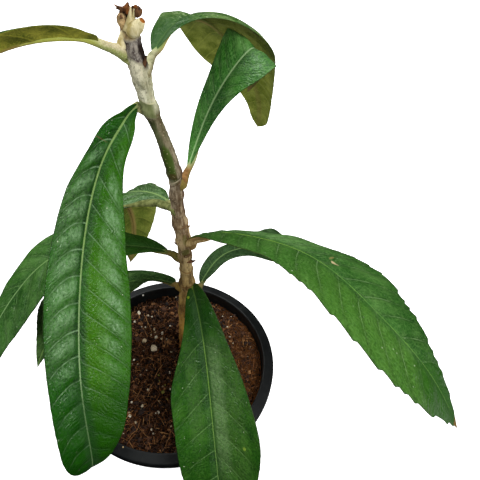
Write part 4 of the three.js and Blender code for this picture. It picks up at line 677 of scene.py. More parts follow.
def build_leaf(name, petiole, table, st):
    tab = np.array(table, float)
    P = tab[:, :3]
    arc = np.r_[0, np.cumsum(np.linalg.norm(np.diff(P, axis=0), axis=1))]
    L = arc[-1]
    NU, M = 190, 22
    u = np.linspace(0, 1, NU)
    u = L * (u + 0.012 * np.sin(2 * np.pi * u))
    c = spline(arc, P, u)
    n = spline(arc, tab[:, 3:6], u)
    T = np.gradient(c, axis=0)
    T /= np.linalg.norm(T, axis=1)[:, None]
    n -= T * (n * T).sum(1)[:, None]
    n /= np.linalg.norm(n, axis=1)[:, None]
    B = np.cross(T, n)
    wl, wr = (np.maximum(np.where(u < arc[3], hermite(arc, tab[:, k], u, True), spline(arc, tab[:, k], u)), 0) for k in (6, 7))
    fold, cl, cr = (spline(arc, tab[:, k], u) for k in (8, 9, 10))
    if "start" in st:
        u0, run, gain = st["start"]
        k = np.sqrt(np.clip((u - u0) / run, 0, 1)) * (1 + (gain - 1) * (1 - smooth(u0 + run, u0 + 3 * run, u)))
        wl, wr = wl * k, wr * k
    x = u / L
    first = int(np.argmax(np.maximum(wl, wr) > 0.6))
    ub0 = u[int(np.argmax(np.maximum(wl, wr) > 1.5))]
    sl = slice(first, NU)
    seed = st["seed"]
    wob = Waves(seed, 60)
    slow = Waves(seed + 50, 45)
    fine = Waves(seed + 90, 9, 14)
    t = np.linspace(0, 1, M + 1)
    t = 1 - (1 - t) ** 1.15
    top = []
    attrs = {k: [] for k in ("ph", "yy", "uu", "tt")}
    for side, w, curl in ((-1, wl, cl), (1, wr, cr)):
        w = w[sl]
        us = u[sl]
        # teeth: small forward-pointing steps on the outer half of the leaf
        tooth_phase = us / 9.0 + 0.6 * slow(us, us * 0 + 7 * side) + (0.5 if side > 0 else 0)
        tooth = (tooth_phase % 1.0) ** 1.6
        tooth_amp = st["teeth"] * smooth(0.35, 0.75, x[sl]) * smooth(0, 6, w)
        ww = w + st.get("edge", 0.3) * slow(us, us * 0 + 31 * side) * smooth(3, 12, w)
        ang_mid = fold[sl][:, None] - curl[sl][:, None] * t[None, :]
        ca, sa = np.cos(ang_mid), np.sin(ang_mid)
        dt = np.diff(t)
        cx = np.concatenate([np.zeros((len(us), 1)), np.cumsum(0.5 * (ca[:, 1:] + ca[:, :-1]) * dt, axis=1)], 1)
        cz = np.concatenate([np.zeros((len(us), 1)), np.cumsum(0.5 * (sa[:, 1:] + sa[:, :-1]) * dt, axis=1)], 1)
        reach = ww[:, None] + (tooth * tooth_amp)[:, None] * t[None, :] ** 10
        lat = reach * cx
        hgt = reach * cz
        nrm = n[sl][:, None, :] * ca[..., None] - side * B[sl][:, None, :] * sa[..., None]
        y = reach * t[None, :]
        U = us[:, None] + 0 * y
        wide = np.maximum(np.maximum(wl, wr)[sl], 1)[:, None]
        # side veins: leave the midrib at about 55 degrees and sweep towards the tip
        sl_, cv_ = st.get("sweep", ((0.45, 0.35), (0.62, 0.25)))[0 if side < 0 else 1]
        sweep = sl_ * y + cv_ * y * y / np.maximum(wide, 8)
        ph = (U - sweep + 1.6 * wob(U, side * y)) / st["pitch"] + 0.12 * side
        q = 0.5 - 0.5 * np.cos(2 * np.pi * ph)
        env = smooth(0.0, 7.0, y) * (1 - 0.9 * smooth(0.55, 1.0, t)[None, :]) * smooth(2, 16, wide) * st.get("half", (1, 1))[0 if side < 0 else 1]
        disp = st["quilt"] * (q ** 0.55 - 0.62) * env
        disp += 0.12 * st["quilt"] * fine(U, side * y) * env
        disp += -0.55 * np.exp(-((y / 2.6) ** 2)) * smooth(2, 10, wide)
        disp += st["wave"] * t[None, :] ** 2 * slow(U, side * 20 + 0 * U) * smooth(6, 20, wide)
        pos = (c[sl][:, None, :] + side * B[sl][:, None, :] * lat[..., None] + n[sl][:, None, :] * hgt[..., None]
               + nrm * disp[..., None])
        dat = dict(pos=pos, nrm=nrm, ph=ph, yy=side * y, uu=U, tt=np.broadcast_to(t, y.shape), q=q, env=env)
        top.append(dat)
    Lh, Rh = top

    def both(k):
        return np.concatenate([Lh[k][:, :0:-1], Rh[k]], axis=1)
    pos, nrm, ph, yy, uu, tt, q, env = (both(k) for k in ("pos", "nrm", "ph", "yy", "uu", "tt", "q", "env"))
    rows, cols = ph.shape
    thick = 0.35 + 0.35 * (1 - tt ** 6) + 0.0 * q
    veins = 0.35 * (1 - q) ** 6 * env
    low = pos - nrm * (thick + veins)[..., None]
    V = np.concatenate([pos.reshape(-1, 3), low.reshape(-1, 3)])
    nv = rows * cols
    F = [grid_faces(rows, cols, flip=True), grid_faces(rows, cols, base=nv)]
    ri = np.arange(rows - 1) * cols
    F.append(np.stack([ri, ri + cols, ri + cols + nv, ri + nv], 1)[:, ::-1])
    re = ri + cols - 1
    F.append(np.stack([re, re + nv, re + nv + cols, re + cols], 1)[:, ::-1])
    cj = np.arange(cols - 1)
    F.append(np.stack([cj, cj + nv, cj + nv + 1, cj + 1], 1)[:, ::-1])
    ce = (rows - 1) * cols + cj
    F.append(np.stack([ce, ce + 1, ce + 1 + nv, ce + nv], 1)[:, ::-1])
    F = np.concatenate(F)
    A = {"ph": np.r_[ph.ravel(), ph.ravel()], "yy": np.r_[yy.ravel(), yy.ravel()],
         "uu": np.r_[uu.ravel(), uu.ravel()], "tt": np.r_[tt.ravel(), tt.ravel()],
         "side": np.r_[np.ones(nv), np.zeros(nv)], "ub": np.r_[uu.ravel(), uu.ravel()] - ub0}
    # petiole and midrib: one tapering rod from the stem to the tip
    K, NR = 16, 150
    ur = np.linspace(0, L * 0.985, NR)
    cr_ = spline(arc, P, ur)
    nr_ = spline(arc, tab[:, 3:6], ur)
    foot = stem_axis(P[0][2] - st.get("foot", 4.0))
    cr_ = np.vstack([foot, 0.5 * (foot + cr_[0]), cr_])
    nr_ = np.vstack([nr_[0], nr_[0], nr_])
    ur = np.r_[-6.0, -3.0, ur]
    Tr = np.gradient(cr_, axis=0)
    Tr /= np.linalg.norm(Tr, axis=1)[:, None]
    nr_ -= Tr * (nr_ * Tr).sum(1)[:, None]
    nr_ /= np.linalg.norm(nr_, axis=1)[:, None]
    Br = np.cross(Tr, nr_)
    s = np.clip(ur / L, 0, 1)
    rad = np.interp(ur, [-6, 0, 6, 0.07 * L, 0.2 * L, 0.5 * L, 0.8 * L, L],
                    [petiole[0] * 1.35, petiole[0] * 1.2, petiole[0] * 1.04, petiole[1] * 1.04, petiole[1] * 0.66, petiole[1] * 0.45, 0.5, 0.2])
    rad *= 1 + 0.05 * slow(ur, ur * 0)
    rad *= 1 + (st.get("tipk", 1.0) - 1) * smooth(0.25 * L, 0.55 * L, ur)
    rad *= 1 + (st.get("petk", 1.0) - 1) * (1 - smooth(ub0, ub0 + 12, ur))
    if "midk" in st:
        r0, r1, r2, r3, rk = st["midk"]
        rad *= 1 + (rk - 1) * smooth(r0, r1, ur) * (1 - smooth(r2, r3, ur))
    sink = smooth(ub0 - 8, ub0 + 9, ur) * (1.0 * rad + 0.42) * st.get("sink", 1.0)
    # bumps on the petiole
    a = np.linspace(0, 2 * np.pi, K, endpoint=False)
    bumpy = Waves(seed + 200, 3.0)
    rr = rad[:, None] * (1 + 0.05 * bumpy(ur[:, None], 2 * a[None, :]) * (1 - smooth(0.05, 0.12, s))[:, None])
    ring = (cr_ - nr_ * sink[:, None])[:, None, :] + Br[:, None, :] * (rr * np.cos(a))[..., None] + nr_[:, None, :] * (rr * np.sin(a) * 0.92)[..., None]
    RV = ring.reshape(-1, 3)
    b0 = len(V)
    RF = grid_faces(len(ur), K, wrap=True, base=b0, flip=False)
    V = np.concatenate([V, RV, cr_[:1], cr_[-1:] - nr_[-1:] * sink[-1]])
    c0 = b0 + len(RV)
    tris = [[b0 + (j + 1) % K, b0 + j, c0] for j in range(K)]
    e0 = b0 + (len(ur) - 1) * K
    tris += [[e0 + j, e0 + (j + 1) % K, c0 + 1] for j in range(K)]
    sd = np.clip(0.5 + 0.9 * np.sin(a), 0, 1)[None, :] + 0 * rr
    for k, v in (("ph", np.zeros(len(RV) + 2)), ("yy", np.zeros(len(RV) + 2)),
                 ("uu", np.r_[(ur[:, None] + 0 * rr).ravel(), 0, L]), ("tt", np.zeros(len(RV) + 2)),
                 ("ub", np.r_[(ur[:, None] + 0 * rr).ravel(), 0, L] - ub0), ("side", np.r_[sd.ravel(), 0, 0])):
        A[k] = np.r_[A[k], v]
    faces = [list(f) for f in F] + [list(f) for f in RF] + tris
    fm = [0] * len(F) + [1] * (len(RF) + len(tris))
    mats = (leaf_material(name + "_surface", st), rib_material(name + "_rib", st))
    o = make_mesh(name + "_blade", V * MM, faces, mats, A, fm)
    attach(o, "root")
    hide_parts(name)
    return o


# ---------------------------------------------------------------- stem
STEM = np.array([
    [10.0, 21.7, 66, 3.6],
    [9.6, 21.7, 84, 5.2],
    [10.0, 21.7, 97, 6.3],
    [10.3, 21.7, 106, 5.9],
    [11.0, 21.7, 121, 5.3],
    [11.4, 21.7, 143, 4.9],
    [13.0, 21.7, 166, 4.9],
    [16.0, 21.7, 191, 5.2],
    [16.5, 21.7, 206, 4.5],
    [16.6, 21.7, 222, 4.4],
    [16.6, 21.7, 238, 4.7],
    [15.4, 21.7, 256, 4.8],
    [15.0, 21.7, 266, 4.5],
    [15.0, 21.7, 277, 3.9],
    [15.3, 21.7, 297, 4.3],
    [12.6, 21.7, 315, 4.1],
    [10.2, 21.7, 327, 3.7],
    [7.9, 21.7, 337, 3.7],
    [6.3, 21.7, 345, 4.6],
    [5.0, 21.7, 353, 4.3],
    [4.4, 21.7, 359, 4.4],
    [3.8, 21.7, 366, 5.2],
    [2.9, 21.7, 373, 5.2],
    [1.9, 21.7, 380, 4.7],
    [1.7, 21.7, 387, 4.3],
    [1.9, 21.7, 391, 3.2],
])


def stem_axis(z):
    return np.array([np.interp(z, STEM[:, 2], STEM[:, 0]), np.interp(z, STEM[:, 2], STEM[:, 1]), z])


def bark_material():
    m = Mat("young_bark")
    sep = m.nt.nodes.new("ShaderNodeSeparateXYZ")
    m.nt.links.new(m.coord, sep.inputs[0])
    x, z = sep.outputs[0], sep.outputs[2]
    sx = m.attr("sx")
    n1 = m.noise(150, 5, 0.6, stretch=(1, 1, 0.3))
    n2 = m.noise(480, 4, 0.65, stretch=(1, 1, 0.45))
    n3 = m.noise(60, 3, 0.5)
    wob = m.math("MULTIPLY", m.math("SUBTRACT", n3, 0.5), 0.010)
    zz = m.math("ADD", z, wob)
    lo, hi = 0.09, 0.41

    def p(v):
        return (v * MM - lo) / (hi - lo)
    fac = m.map(zz, lo, hi, 0, 1, "LINEAR")
    light = m.ramp(fac, [
        (p(100), lin(180, 118, 44)), (p(125), lin(214, 160, 72)), (p(160), lin(196, 156, 80)), (p(210), lin(194, 168, 112)), (p(250), lin(190, 166, 124)),
        (p(290), lin(176, 160, 136)), (p(320), lin(134, 124, 98)), (p(343), lin(120, 112, 84)), (p(353), lin(236, 234, 204)), (p(372), lin(232, 226, 196))])
    dark = m.ramp(fac, [
        (p(100), lin(72, 46, 18)), (p(125), lin(136, 92, 36)), (p(160), lin(116, 86, 40)), (p(210), lin(112, 90, 50)), (p(250), lin(102, 78, 52)),
        (p(290), lin(96, 80, 60)), (p(320), lin(82, 84, 50)), (p(343), lin(78, 74, 46)), (p(353), lin(172, 172, 136)), (p(372), lin(172, 168, 138))])
    c = m.mix(m.map(n1, 0.36, 0.62), dark, light)
    fib = m.noise(560, 4, 0.62, stretch=(1, 1, 0.16))
    c = m.mix(m.math("MULTIPLY", m.map(fib, 0.53, 0.64), 0.6), c, m.mix(m.map(z, 0.340, 0.352), lin(72, 50, 26), lin(128, 124, 92)))
    c = m.mix(m.math("MULTIPLY", m.map(fib, 0.46, 0.36, 0, 1), 0.35), c, m.mix(m.map(z, 0.150, 0.260), lin(196, 150, 84), lin(196, 180, 150)))
    # green cortex showing on the left between the collar and the next fork; its darker tone on that side is painted
    # shade
    gz = m.math("MULTIPLY", m.map(zz, 0.290, 0.300), m.map(zz, 0.338, 0.346, 1, 0))
    gl = m.math("MULTIPLY", gz, m.map(m.math("ADD", sx, m.math("MULTIPLY", m.math("SUBTRACT", n1, 0.5), 1.2)), -0.1, 0.5, 1, 0))
    c = m.mix(m.math("MULTIPLY", gl, 0.85), c, m.mix(m.map(n1, 0.4, 0.6), lin(66, 76, 36), lin(98, 106, 68)))

    def spot(cx, cz, rx, rz, lean, col, k):
        nonlocal c
        dx = m.math("DIVIDE", m.math("SUBTRACT", m.math("SUBTRACT", x, cx * MM), m.math("MULTIPLY", m.math("SUBTRACT", z, cz * MM), lean)), rx * MM)
        dz = m.math("DIVIDE", m.math("SUBTRACT", z, cz * MM), rz * MM)
        r2_ = m.math("ADD", m.math("MULTIPLY", dx, dx), m.math("MULTIPLY", dz, dz))
        r2_ = m.math("ADD", r2_, m.math("MULTIPLY", m.math("SUBTRACT", n1, 0.5), 1.6))
        c = m.mix(m.math("MULTIPLY", m.map(r2_, 0.5, 1.3, 1, 0), k), c, lin(*col))

    spot(13.6, 311.5, 2.6, 13.0, -0.13, (64, 88, 18), 0.9)
    spot(14.8, 300.5, 2.4, 2.6, 0.0, (70, 50, 22), 0.7)
    spot(17.6, 229.5, 2.6, 3.8, 0.0, (80, 84, 28), 0.7)
    spot(18.6, 226.0, 2.6, 1.6, 0.0, (74, 44, 20), 0.7)
    spot(18.0, 243.0, 1.6, 5.0, 0.0, (112, 112, 40), 0.5)
    # lenticels
    v = m.voronoi(420, "F1", 1.0)
    c = m.mix(m.math("MULTIPLY", m.map(v, 0.10, 0.22, 1, 0), 0.45), c, lin(196, 178, 140))
    c = m.mix(m.math("MULTIPLY", m.map(n2, 0.56, 0.70), 0.5), c, lin(62, 48, 28))
    # pale leaf scars that ring the stem, tilted
    for z0, lean, w, col, k in ((296.0, 0.65, 0.9, (182, 168, 140), 0.8), (293.5, 0.65, 0.9, (84, 56, 36), 0.6), (341.8, -0.35, 1.0, (92, 66, 42), 0.7),
                                (256.0, 0.2, 1.0, (120, 84, 46), 0.6), (207.5, -0.2, 0.9, (112, 72, 32), 0.6), (192.0, 0.1, 0.9, (104, 66, 30), 0.6)):
        d = m.math("ABSOLUTE", m.math("SUBTRACT", z, m.math("ADD", z0 * MM, m.math("MULTIPLY", m.math("SUBTRACT", x, 0.0165), lean))))
        c = m.mix(m.math("MULTIPLY", m.map(d, 0.3 * w * MM, w * MM, 1, 0), k), c, lin(*col))
    # collar left by the shed bud scales
    ct = m.math("SUBTRACT", z, m.math("SUBTRACT", 0.3522, m.math("MULTIPLY", m.math("SUBTRACT", x, 0.0065), 0.33)))
    band = m.math("MULTIPLY", m.map(ct, -0.0090, -0.0080), m.map(ct, -0.0006, 0.0, 1, 0))
    band = m.math("MULTIPLY", band, m.map(sx, 0.35, 0.8, 1, 0.15))
    c = m.mix(band, c, m.mix(m.map(n1, 0.35, 0.65), lin(92, 100, 56), lin(140, 146, 100)))
    c = m.mix(m.math("MULTIPLY", m.map(m.math("ABSOLUTE", ct), 0.0001, 0.0006, 1, 0), 0.7), c, lin(206, 200, 154))
    fleck = m.noise(1300, 3, 0.65, stretch=(1, 1, 0.5))
    c = m.mix(m.math("MULTIPLY", m.math("MULTIPLY", m.map(fleck, 0.53, 0.66), m.map(z, 0.350, 0.354)), 0.6), c, lin(118, 114, 84))
    dark_side = m.math("MULTIPLY", m.map(sx, 0.70, 0.96), m.math("MULTIPLY", m.map(zz, 0.258, 0.268), m.map(zz, 0.300, 0.310, 1, 0)))
    c = m.mix(m.math("MULTIPLY", dark_side, 0.8), c, lin(74, 42, 28))
    # rough grey bark at the top, ending along a slanting line
    edge = m.math("SUBTRACT", z, m.math("SUBTRACT", 0.3815, m.math("MULTIPLY", m.math("ADD", x, 0.0025), 0.83)))
    edge = m.math("ADD", edge, m.math("MULTIPLY", wob, 0.3))
    grey = m.math("MULTIPLY", m.map(edge, -0.0003, 0.0012), m.map(x, -0.0036, -0.0026))
    gc = m.mix(m.map(n2, 0.38, 0.62), lin(74, 64, 60), lin(152, 144, 132))
    gc = m.mix(m.math("MULTIPLY", m.map(fleck, 0.54, 0.66), 0.7), gc, lin(176, 170, 160))
    gc = m.mix(m.math("MULTIPLY", m.map(n1, 0.54, 0.66), 0.6), gc, lin(48, 40, 38))
    grey = m.math("MULTIPLY", grey, m.map(z, 0.3878, 0.3898, 1, 0))
    c = m.mix(m.math("MULTIPLY", m.map(z, 0.3878, 0.3898), 0.9), c, m.mix(m.map(n1, 0.4, 0.6), lin(126, 100, 62), lin(186, 166, 118)))
    c = m.mix(grey, c, gc)
    rim_ = m.math("MULTIPLY", m.map(m.math("ABSOLUTE", edge), 0.0002, 0.0009, 1, 0), m.map(x, -0.0030, 0.0080, 0.9, 0.4))
    c = m.mix(m.math("MULTIPLY", rim_, 0.6), c, lin(48, 34, 24))
    right_ = m.math("MULTIPLY", m.math("MULTIPLY", m.map(sx, 0.54, 0.74), m.map(z, 0.370, 0.374)), m.map(z, 0.384, 0.388, 1, 0))
    c = m.mix(right_, c, lin(34, 22, 16))
    h = m.math("ADD", m.math("MULTIPLY", n1, 1.0), m.math("MULTIPLY", n2, 0.8))
    h = m.math("SUBTRACT", h, m.math("MULTIPLY", fib, 1.1))
    m.set(Base_Color=c, Roughness=0.85, Normal=m.bump(h, 0.8, 0.0007))
    m.bsdf.inputs["Specular IOR Level"].default_value = 0.2
    return m.mat


BARK = bark_material()


def rod_mesh(name, pts, rad, sides, mat, rough=0.0, seed=0, per=1.2, cap_mat=None, flat_end=False):
    """Round rod through pts (mm) with bumps of relative size rough."""
    pts = np.asarray(pts, float)
    rad = np.asarray(rad, float)
    arc = np.r_[0, np.cumsum(np.linalg.norm(np.diff(pts, axis=0), axis=1))]
    n = max(4, int(arc[-1] / per))
    u = np.linspace(0, arc[-1], n)
    c = hermite(arc, pts, u)
    r = hermite(arc, rad, u, True)
    T = np.gradient(c, axis=0)
    T /= np.linalg.norm(T, axis=1)[:, None]
    U = np.zeros_like(T)
    ref = np.array([1.0, 0, 0]) if abs(T[0][0]) < 0.9 else np.array([0, 1.0, 0])
    for i in range(n):
        ref = ref - T[i] * (ref @ T[i])
        ref /= np.linalg.norm(ref)
        U[i] = ref
    W = np.cross(T, U)
    a = np.linspace(0, 2 * np.pi, sides, endpoint=False)
    w1, w2 = Waves(seed, 6.0, dims=3), Waves(seed + 1, 2.2, 14, dims=3)
    base = c[:, None, :] + U[:, None, :] * (r[:, None] * np.cos(a))[..., None] + W[:, None, :] * (r[:, None] * np.sin(a))[..., None]
    k = 1 + rough * (0.6 * w1(base[..., 0], base[..., 1], base[..., 2] * 0.6) + 0.4 * w2(base[..., 0], base[..., 1], base[..., 2] * 0.8))
    ring = c[:, None, :] + U[:, None, :] * (r[:, None] * k * np.cos(a))[..., None] + W[:, None, :] * (r[:, None] * k * np.sin(a))[..., None]
    V = np.vstack([ring.reshape(-1, 3), c[:1], c[-1:]])
    F = [list(f) for f in grid_faces(n, sides, wrap=True)]
    c0 = n * sides
    F += [[(j + 1) % sides, j, c0] for j in range(sides)]
    e0 = (n - 1) * sides
    F += [[e0 + j, e0 + (j + 1) % sides, c0 + 1] for j in range(sides)]
    fm = [0] * (len(F) - sides) + [1 if cap_mat else 0] * sides
    mats = [mat] + ([cap_mat] if cap_mat else [])
    o = make_mesh(name, V * MM, F, mats, None, fm)
    return o


def build_stem():
    # finer axis with node swellings and leaf-scar rings
    z = STEM[:, 2]
    arc = np.r_[0, np.cumsum(np.linalg.norm(np.diff(STEM[:, :3], axis=0), axis=1))]
    n = 520
    u = np.linspace(0, arc[-1], n)
    c = hermite(arc, STEM[:, :3], u)
    r = hermite(arc, STEM[:, 3], u, True)
    zz = c[:, 2]
    for z0, amp, wid in SCARS:
        r = r + amp * np.exp(-(((zz - z0) / wid) ** 2))
    sides = 72
    T = np.gradient(c, axis=0)
    T /= np.linalg.norm(T, axis=1)[:, None]
    U = np.cross(np.array([0, 1.0, 0]), T)
    U /= np.linalg.norm(U, axis=1)[:, None]
    W = np.cross(T, U)
    a = np.linspace(0, 2 * np.pi, sides, endpoint=False)
    base = c[:, None, :] + U[:, None, :] * (r[:, None] * np.cos(a))[..., None] + W[:, None, :] * (r[:, None] * np.sin(a))[..., None]
    X, Y, Z = base[..., 0], base[..., 1], base[..., 2]
    w1, w2, w3 = Waves(301, 9, dims=3), Waves(302, 3.2, 16, dims=3), Waves(303, 1.3, 18, dims=3)
    k = 0.30 * w1(X, Y, Z * 0.5) + 0.16 * w2(X, Y, Z * 0.6) + 0.07 * w3(X, Y, Z * 0.8)
    amp = np.interp(zz, [66, 100, 150, 200, 300, 345, 370, 391], [0.8, 1.3, 1.0, 0.8, 0.7, 0.7, 1.5, 2.2])[:, None]
    rr = r[:, None] + k * amp
    ring = c[:, None, :] + U[:, None, :] * (rr * np.cos(a))[..., None] + W[:, None, :] * (rr * np.sin(a))[..., None]
    V = np.vstack([ring.reshape(-1, 3), c[:1], c[-1:]])
    F = [list(f) for f in grid_faces(n, sides, wrap=True)]
    c0 = n * sides
    F += [[(j + 1) % sides, j, c0] for j in range(sides)]
    e0 = (n - 1) * sides
    F += [[e0 + j, e0 + (j + 1) % sides, c0 + 1] for j in range(sides)]
    sx = np.r_[(((c[:, 0][:, None] + U[:, :1] * (rr * np.cos(a)) + W[:, :1] * (rr * np.sin(a))) - c[:, 0][:, None]) / r[:, None]).ravel(), 0, 0]
    o = make_mesh("stem_bark", V * MM, F, [BARK], {"sx": sx})
    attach(o, "root")
    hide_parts("stem")
    return o


SCARS = [(112, 0.5, 2.0), (124, 0.6, 1.6), (133, 0.4, 1.2), (152, 0.5, 1.5), (191, 1.1, 3.5), (206, 0.6, 1.5), (222, 0.8, 3.0), (238, 0.9, 3.0),
         (256, 1.0, 3.5), (266, 0.4, 1.2), (281, 0.9, 3.0), (300, 0.7, 2.5), (346, 0.35, 3.0)]
build_stem()


def plain_wood(name, a, b, rough=0.85, scale=260, bumpd=0.0005):
    m = Mat(name)
    n1 = m.noise(scale, 5, 0.6, stretch=(1, 1, 0.3))
    n2 = m.noise(scale * 3, 3, 0.6)
    c = m.mix(m.map(n1, 0.35, 0.65), lin(*a), lin(*b))
    c = m.mix(m.math("MULTIPLY", m.map(n2, 0.55, 0.75), 0.5), c, lin(*[v * 0.6 for v in a]))
    m.set(Base_Color=c, Roughness=rough, Normal=m.bump(m.math("ADD", n1, n2), 0.6, bumpd))
    m.bsdf.inputs["Specular IOR Level"].default_value = 0.25
    return m.mat


CREAM = plain_wood("woolly_shoot", (172, 156, 98), (236, 226, 186), 0.8, 200)
TAN = plain_wood("dry_shoot", (96, 66, 38), (206, 176, 126), 0.85, 420)
CUT = plain_wood("cut_wood", (118, 54, 8), (172, 104, 26), 0.8, 700)
RUST = plain_wood("rust_scale", (54, 28, 10), (134, 80, 34), 0.9, 500)
DRY = plain_wood("dry_scale", (58, 34, 18), (140, 96, 60), 0.9, 600)
FELT = plain_wood("felted_margin", (84, 92, 44), (128, 134, 78), 0.85, 420, 0.0004)
WOOL = plain_wood("woolly_petiole", (168, 134, 76), (222, 194, 136), 0.85, 420, 0.0004)
PALE = plain_wood("perlite_speck", (208, 204, 192), (244, 242, 234), 0.9, 700, 0.0003)
DARKDRY = plain_wood("dark_dry_tip", (34, 22, 14), (112, 76, 48), 0.9, 600)


def twig(name, pts, rad, mat, cap=None, sides=24, rough=0.10, seed=5):
    o = rod_mesh(name, pts, rad, sides, mat, rough, seed, 0.5, cap)
    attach(o, "root")
    return o


# crown of the stem: one cut shoot, dried strands and scales round it; a bud and dry scales lower down
twig("dry_scale_right", [[5.1, 21.4, 398.5], [6.5, 22.3, 400.7], [6.0, 23.0, 402.9]], [0.9, 1.9, 0.7], DARKDRY, None, 20, 0.28, 16)
twig("dark_strand", [[-0.8, 23.7, 392.5], [-0.1, 24.2, 396.9], [0.3, 24.4, 399.7]], [1.3, 1.3, 0.9], DARKDRY, None, 16, 0.25, 33)
twig("axil_wool_left", [[-3.3, 19.2, 384.2], [-2.7, 20.0, 386.9], [-2.1, 20.9, 389.5], [-1.7, 22.1, 391.7]], [2.7, 2.3, 1.7, 0.9], CREAM, None, 20, 0.10, 32)
twig("shoot_left", [[-1.9, 22.8, 387.9], [-1.8, 22.5, 392.2], [-1.7, 22.6, 396.2], [-1.7, 23.0, 398.5], [-1.6, 23.1, 399.9]], [2.2, 1.5, 2.4, 2.0, 0.8], TAN, None, 28, 0.16, 17)
twig("strand_middle", [[1.0, 20.4, 392.4], [2.0, 20.9, 397.2], [2.7, 21.7, 400.8], [2.9, 22.3, 403.1]], [2.6, 1.5, 0.8, 0.45], CREAM, None, 20, 0.08, 12)
twig("strand_right", [[3.4, 21.5, 395.9], [4.3, 22.1, 399.6], [4.6, 22.4, 401.9], [5.1, 22.5, 403.0]], [1.2, 0.8, 0.6, 0.4], CREAM, None, 16, 0.10, 14)
twig("dry_scale_front", [[-0.4, 22.8, 399.6], [-0.1, 23.3, 401.3], [-0.3, 23.4, 402.7]], [0.9, 1.1, 0.4], DARKDRY, None, 16, 0.30, 15)
twig("dry_scale_orange", [[0.8, 21.5, 399.9], [1.4, 22.5, 402.3], [2.0, 23.3, 404.6]], [0.8, 1.6, 0.4], RUST, None, 16, 0.28, 25)
twig("dry_scale_top", [[4.5, 22.0, 402.8], [5.4, 22.0, 403.4], [6.2, 21.7, 403.4]], [0.6, 0.9, 0.5], RUST, None, 14, 0.25, 26)
twig("dry_scale_left", [[-2.4, 22.9, 399.7], [-1.5, 23.0, 400.6], [-0.8, 23.2, 401.5]], [0.6, 0.9, 0.5], DRY, None, 14, 0.30, 27)
twig("dry_scale_middle", [[3.1, 22.3, 398.4], [3.5, 22.8, 401.2], [4.0, 23.1, 403.0]], [0.5, 0.7, 0.4], DARKDRY, None, 14, 0.25, 29)
twig("dried_twig", [[-0.3, 22.9, 401.0], [-2.6, 22.8, 402.3], [-4.6, 23.0, 403.7]], [1.0, 0.65, 0.2], DRY, None, 14, 0.28, 18)
twig("dried_sliver", [[-1.1, 22.6, 401.3], [-2.6, 22.4, 401.9], [-4.1, 22.3, 402.3]], [0.7, 0.5, 0.15], DRY, None, 12, 0.28, 28)
twig("shoot_scar", [[-1.5, 20.4, 399.7], [-1.2, 19.5, 398.9]], [0.6, 0.6], DARKDRY, None, 12, 0.25, 31)
twig("cut_stub", [[1.8, 18.8, 391.0], [3.4, 18.8, 392.9], [6.0, 19.0, 395.6], [8.3, 18.8, 398.4]], [2.2, 3.4, 3.1, 1.6], CREAM, CUT, 40, 0.05, 11)
twig("side_bud", [[4.6, 20.5, 369.5], [6.2, 20.0, 374.4], [8.0, 19.4, 379.4]], [1.3, 1.2, 0.3], DARKDRY, None, 18, 0.14, 19)
twig("dry_stipule_high", [[17.6, 18.8, 253.5], [20.6, 18.2, 255.4], [22.6, 17.8, 257.6]], [1.1, 0.9, 0.2], TAN, None, 14, 0.24, 20)
twig("dry_stipule_right", [[18.4, 18.2, 219.4], [21.6, 17.6, 220.2], [24.4, 17.0, 222.6]], [1.2, 1.0, 0.2], DRY, None, 14, 0.24, 21)
twig("dry_stipule_left", [[14.4, 19.4, 235.5], [12.4, 18.4, 237.6], [10.6, 17.8, 240.4]], [1.1, 0.9, 0.2], DRY, None, 14, 0.24, 22)
# petioles that show most: the rolled lower margin of the middle left leaf and the stout petiole of the long right leaf
twig("leaf_mid_left_margin", [[14.4, 18.5, 269.5], [11.2, 22.8, 267.8], [5.2, 27.7, 265.5], [0.2, 30.7, 264.1], [-4.2, 32.0, 262.5], [-8.5, 32.5, 261.7], [-15.0, 31.7, 260.9], [-20.3, 31.8, 259.8], [-27.0, 32.1, 257.4]], [3.0, 2.5, 2.7, 2.55, 2.4, 2.15, 1.4, 0.8, 0.5], FELT, None, 28, 0.05, 51)
twig("leaf_long_right_petiole", [[16.8, 20.7, 235.5], [21.3, 17.9, 240.2], [25.9, 13.8, 247.5], [30.1, 9.3, 254.0], [33.7, 5.0, 259.4], [36.4, 2.5, 262.6]], [2.8, 2.5, 2.4, 2.2, 1.6, 0.8], WOOL, None, 28, 0.06, 52)
# grains on the pot
twig("perlite_on_wall", [[-30.9, 66.6, 107.6], [-30.3, 66.6, 108.6]], [0.75, 0.7], PALE, None, 14, 0.2, 61)
twig("crumb_on_rim", [[-30.3, -69.7, 109.9], [-29.5, -69.7, 110.2]], [0.55, 0.5], TAN, None, 14, 0.2, 62)


for _name, _d in LEAVES.items():
    build_leaf(_name, _d["petiole"], _d["stations"], STYLE[_name])


# ---------------------------------------------------------------- pot
def pot_material():
    m = Mat("black_nursery_plastic")
    n1 = m.noise(60, 4, 0.6)
    n2 = m.noise(900, 3, 0.6)
    n3 = m.noise(220, 4, 0.7)
    c = m.mix(m.map(n1, 0.3, 0.7), lin(10, 13, 14), lin(20, 24, 24))
    dust = m.math("MULTIPLY", m.map(n3, 0.60, 0.78), 0.35)
    c = m.mix(dust, c, lin(78, 74, 64))
    m.set(Base_Color=c, Roughness=m.map(n1, 0.3, 0.7, 0.42, 0.58, "LINEAR"), Normal=m.bump(m.math("ADD", n2, m.math("MULTIPLY", n3, 0.5)), 0.25, 0.0002))
    m.bsdf.inputs["Specular IOR Level"].default_value = 0.3
    return m.mat


